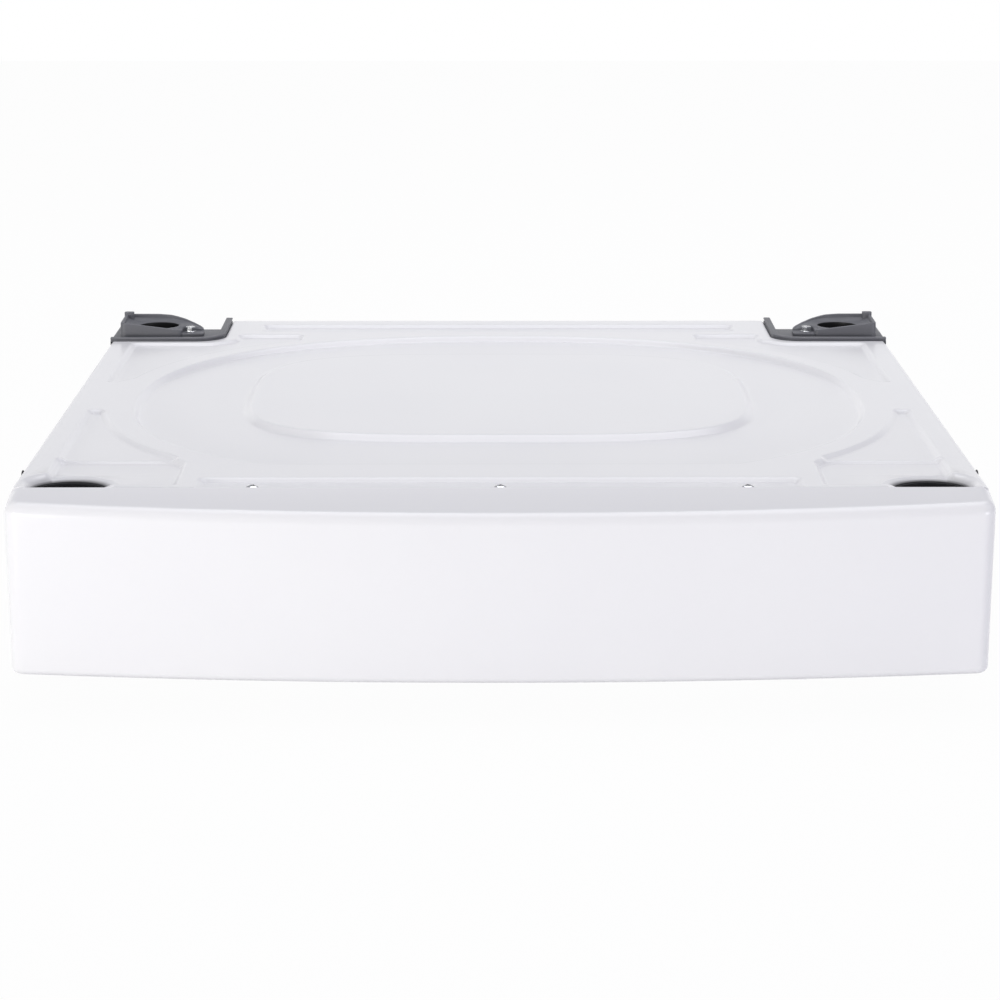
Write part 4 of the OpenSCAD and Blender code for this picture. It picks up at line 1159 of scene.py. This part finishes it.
phase = add(tree, MATH, [add(tree, MATH, [climb, turn], operation="SUBTRACT"), 0.5], operation="PINGPONG")
doubled = add(tree, MATH, [phase, 2.0], operation="MULTIPLY")
cut_in = add(tree, MATH, [doubled, g["Depth"]], operation="MULTIPLY")
outward = add(tree, "ShaderNodeVectorMath", {0: add(tree, "ShaderNodeCombineXYZ", {
    "X": part.outputs["X"], "Y": part.outputs["Y"]}).outputs[0]}, operation="NORMALIZE")
inwards = add(tree, MATH, [cut_in, -1.0], operation="MULTIPLY")
inward = add(tree, "ShaderNodeVectorMath", {0: outward.outputs[0], "Scale": inwards}, operation="SCALE")
threaded = add(tree, "GeometryNodeSetPosition", {"Geometry": tube.outputs[0], "Offset": inward.outputs[0]})
end_tree(tree, threaded.outputs[0], g["Material"])
empty = bpy.data.meshes.new("nothing")
thread = grown(empty, tree, THREAD | {"Rows": 220, "Material": zinc_plate})
print("thread points", len(thread.vertices), "in", round(THREAD["Length"] / THREAD["Pitch"], 1), "turns")

# %% Feet: stem, hexagon, pad and nuts
FEET = {"front_left": (-300, 98), "front_right": (300, 98), "rear_left": (-300, NOTCH_Y + 45),
        "rear_right": (300, NOTCH_Y + 45)}
PAD_H, STEM_TOP, TIP_H, RIBS = 12.0, 64.6, 0.6, 20
pad_outline = [(0, 0.8), (11, 0.8), (11.4, 0), (13.6, 0), (14, 0.8), (15.6, 0.8), (16, 0), (18.6, 0),
               (19.6, 0.4), (20, 1.2), (20, 4.6), (19.7, 5.4), (19, 6.0), (13.6, 7.3), (12.8, 8.0),
               (12.4, 10.8), (11.9, 11.7), (11, 12), (4.85, 12), (4.85, 6.0), (0, 6.0)]
rib_bm = bmesh.new()
bmesh.ops.create_cube(rib_bm, size=1.0, matrix=Matrix.LocRotScale(Vector((-0.4, 0, 2.9)) / 1000, None,
                                                                Vector((0.8, 1.6, 3.4)) / 1000))
rib = soft(mesh_from(rib_bm, "rib"), 0.25)
for name, (x, y) in FEET.items():
    base = place(x, y, FLOOR)
    stem_thread = thread.copy()
    stem_thread.transform(Matrix.Translation(base + Vector((0, 0, STEM_TOP - TIP_H - THREAD_L / 2)) / 1000))
    lower = lathe([(0, 6), (4.5, 6), (4.72, 6.3), (4.72, 21.5), (0, 21.5)], base, 40)
    tip = lathe([(0, 64.0), (4.0, 64.0), (3.5, 64.6), (0, 64.6)], base, 40)
    hexagon = hex_prism(17, 8.6, 0.94, both_ends=True)
    hexagon.transform(Matrix.Translation(base + Vector((0, 0, PAD_H)) / 1000))
    solid(name + "_threaded_stem", joined(name + "_stem", [stem_thread, lower, tip, hexagon]), zinc_plate,
          [name + "_foot_stem"], name + "_stem", auto=30)
    ribs = []
    for i in range(RIBS):
        copy = rib.copy()
        copy.transform(Matrix.Translation(base) @ Matrix.Rotation(2 * math.pi * i / RIBS, 4, "Z")
                       @ Matrix.Translation((0.0199, 0, 0)))
        ribs.append(copy)
    solid(name + "_rubber_pad", joined(name + "_pad", [lathe(pad_outline, base, 80)] + ribs), foot_rubber,
          [name + "_foot_pad"], name + "_pad")
set_out("rail_weld_nuts", hex_prism(17, 9, 0.94, bore=4.82, both_ends=True), at(FEET.values(), FLOOR + 31.2),
        zinc_plate, ["weld_nuts"], 23)
set_out("foot_lock_nuts", hex_prism(17, 8.4, 0.94, bore=4.82, both_ends=True), at(FEET.values(), FLOOR + 20.8),
        zinc_plate, ["lock_nuts"], 29)
print("feet", len(FEET))

# %% [markdown]
# ## Floor, backdrop and light
# The photograph is a studio shot on white, with broad soft light from the front left and above. The floor and
# the backdrop show white to the camera through Light Path, and the floor keeps a faint shadow. The backdrop is
# low, so that the deck mirrors its bright band and a dimmer sky above it. Two low softboxes light the bowed
# face, and the lamps stay at a level where white enamel does not clip.

# %% Floor and backdrop
FLOOR_HALF, BACKDROP_HALF, BACKDROP_AT, BACKDROP_TOP = 9, 7, 5.2, 2.1


def stage_white(name, colour, lift):
    material = bpy.data.materials.new(name)
    material.use_nodes = True
    tree = material.node_tree
    tree.nodes.clear()
    paths = add(tree, "ShaderNodeLightPath").outputs
    mirrored_ray = add(tree, MATH, [paths["Is Glossy Ray"], paths["Is Transmission Ray"]], operation="MAXIMUM")
    seen = add(tree, MATH, [paths["Is Camera Ray"], mirrored_ray], operation="MAXIMUM")
    share = add(tree, MATH, [seen, lift], operation="MULTIPLY")
    matt = add(tree, "ShaderNodeBsdfDiffuse", {"Color": linear(colour)})
    glow = add(tree, "ShaderNodeEmission", {"Color": (1, 1, 1, 1), "Strength": 1.0})
    mixed = add(tree, "ShaderNodeMixShader", {0: share, 1: matt.outputs[0], 2: glow.outputs[0]})
    close(tree, mixed)
    return material


def stage_plane(name, corners, material):
    mesh = bpy.data.meshes.new(name)
    mesh.from_pydata(corners, [], [tuple(range(len(corners)))])
    mesh.materials.append(material)
    plane = bpy.data.objects.new(name, mesh)
    bpy.context.scene.collection.objects.link(plane)


h = FLOOR_HALF
stage_plane("floor", [(-h, -h, 0), (h, -h, 0), (h, h, 0), (-h, h, 0)],
            stage_white("studio_floor", "#e6e6e8", 0.97))
stage_plane("backdrop", [(x, BACKDROP_AT, z) for x, z in (
    (-BACKDROP_HALF, 0), (BACKDROP_HALF, 0), (BACKDROP_HALF, BACKDROP_TOP), (-BACKDROP_HALF, BACKDROP_TOP))],
            stage_white("studio_backdrop", "#e6e6e8", 1.0))
print("backdrop", BACKDROP_TOP, "m high,", BACKDROP_AT, "m back")

# %% Sky
SKY_DIM = 0.46
world = bpy.data.worlds.new("studio")
bpy.context.scene.world = world
world.use_nodes = True
tree = world.node_tree
tree.nodes.clear()
paths = add(tree, "ShaderNodeLightPath").outputs
seen = add(tree, MATH, [paths["Is Camera Ray"], paths["Is Transmission Ray"]], operation="MAXIMUM")
dim = add(tree, "ShaderNodeBackground", {"Color": linear("#f2f2f8"), "Strength": SKY_DIM})
white = add(tree, "ShaderNodeBackground", {"Color": (1, 1, 1, 1), "Strength": 1.0})
sky = add(tree, "ShaderNodeMixShader", {0: seen, 1: dim.outputs[0], 2: white.outputs[0]})
add(tree, "ShaderNodeOutputWorld", {"Surface": sky.outputs[0]})
print("sky at", SKY_DIM, "of the backdrop")


# %% Lamps
def softbox(name, where, aim, size, watts, colour):
    lamp = bpy.data.lights.new(name, "AREA")
    lamp.shape = "RECTANGLE"
    lamp.size, lamp.size_y = size
    lamp.energy = watts
    lamp.color = linear(colour)[:3]
    stand = bpy.data.objects.new(name, lamp)
    stand.location = where
    stand.rotation_euler = (Vector(aim) - Vector(where)).to_track_quat("-Z", "Y").to_euler()
    bpy.context.scene.collection.objects.link(stand)


softbox("front_left_softbox", (-2.0, -2.4, 0.3), (-0.25, -0.35, 0.1), (1.2, 0.5), 43, "#fffdf9")
softbox("front_right_softbox", (2.3, -1.9, 0.3), (0.2, -0.3, 0.1), (1.2, 0.5), 18, "#f8f6ff")
softbox("overhead_softbox", (0.2, 0.6, 2.4), (0, 0, 0.1), (2.2, 2.2), 29, "#fafaff")
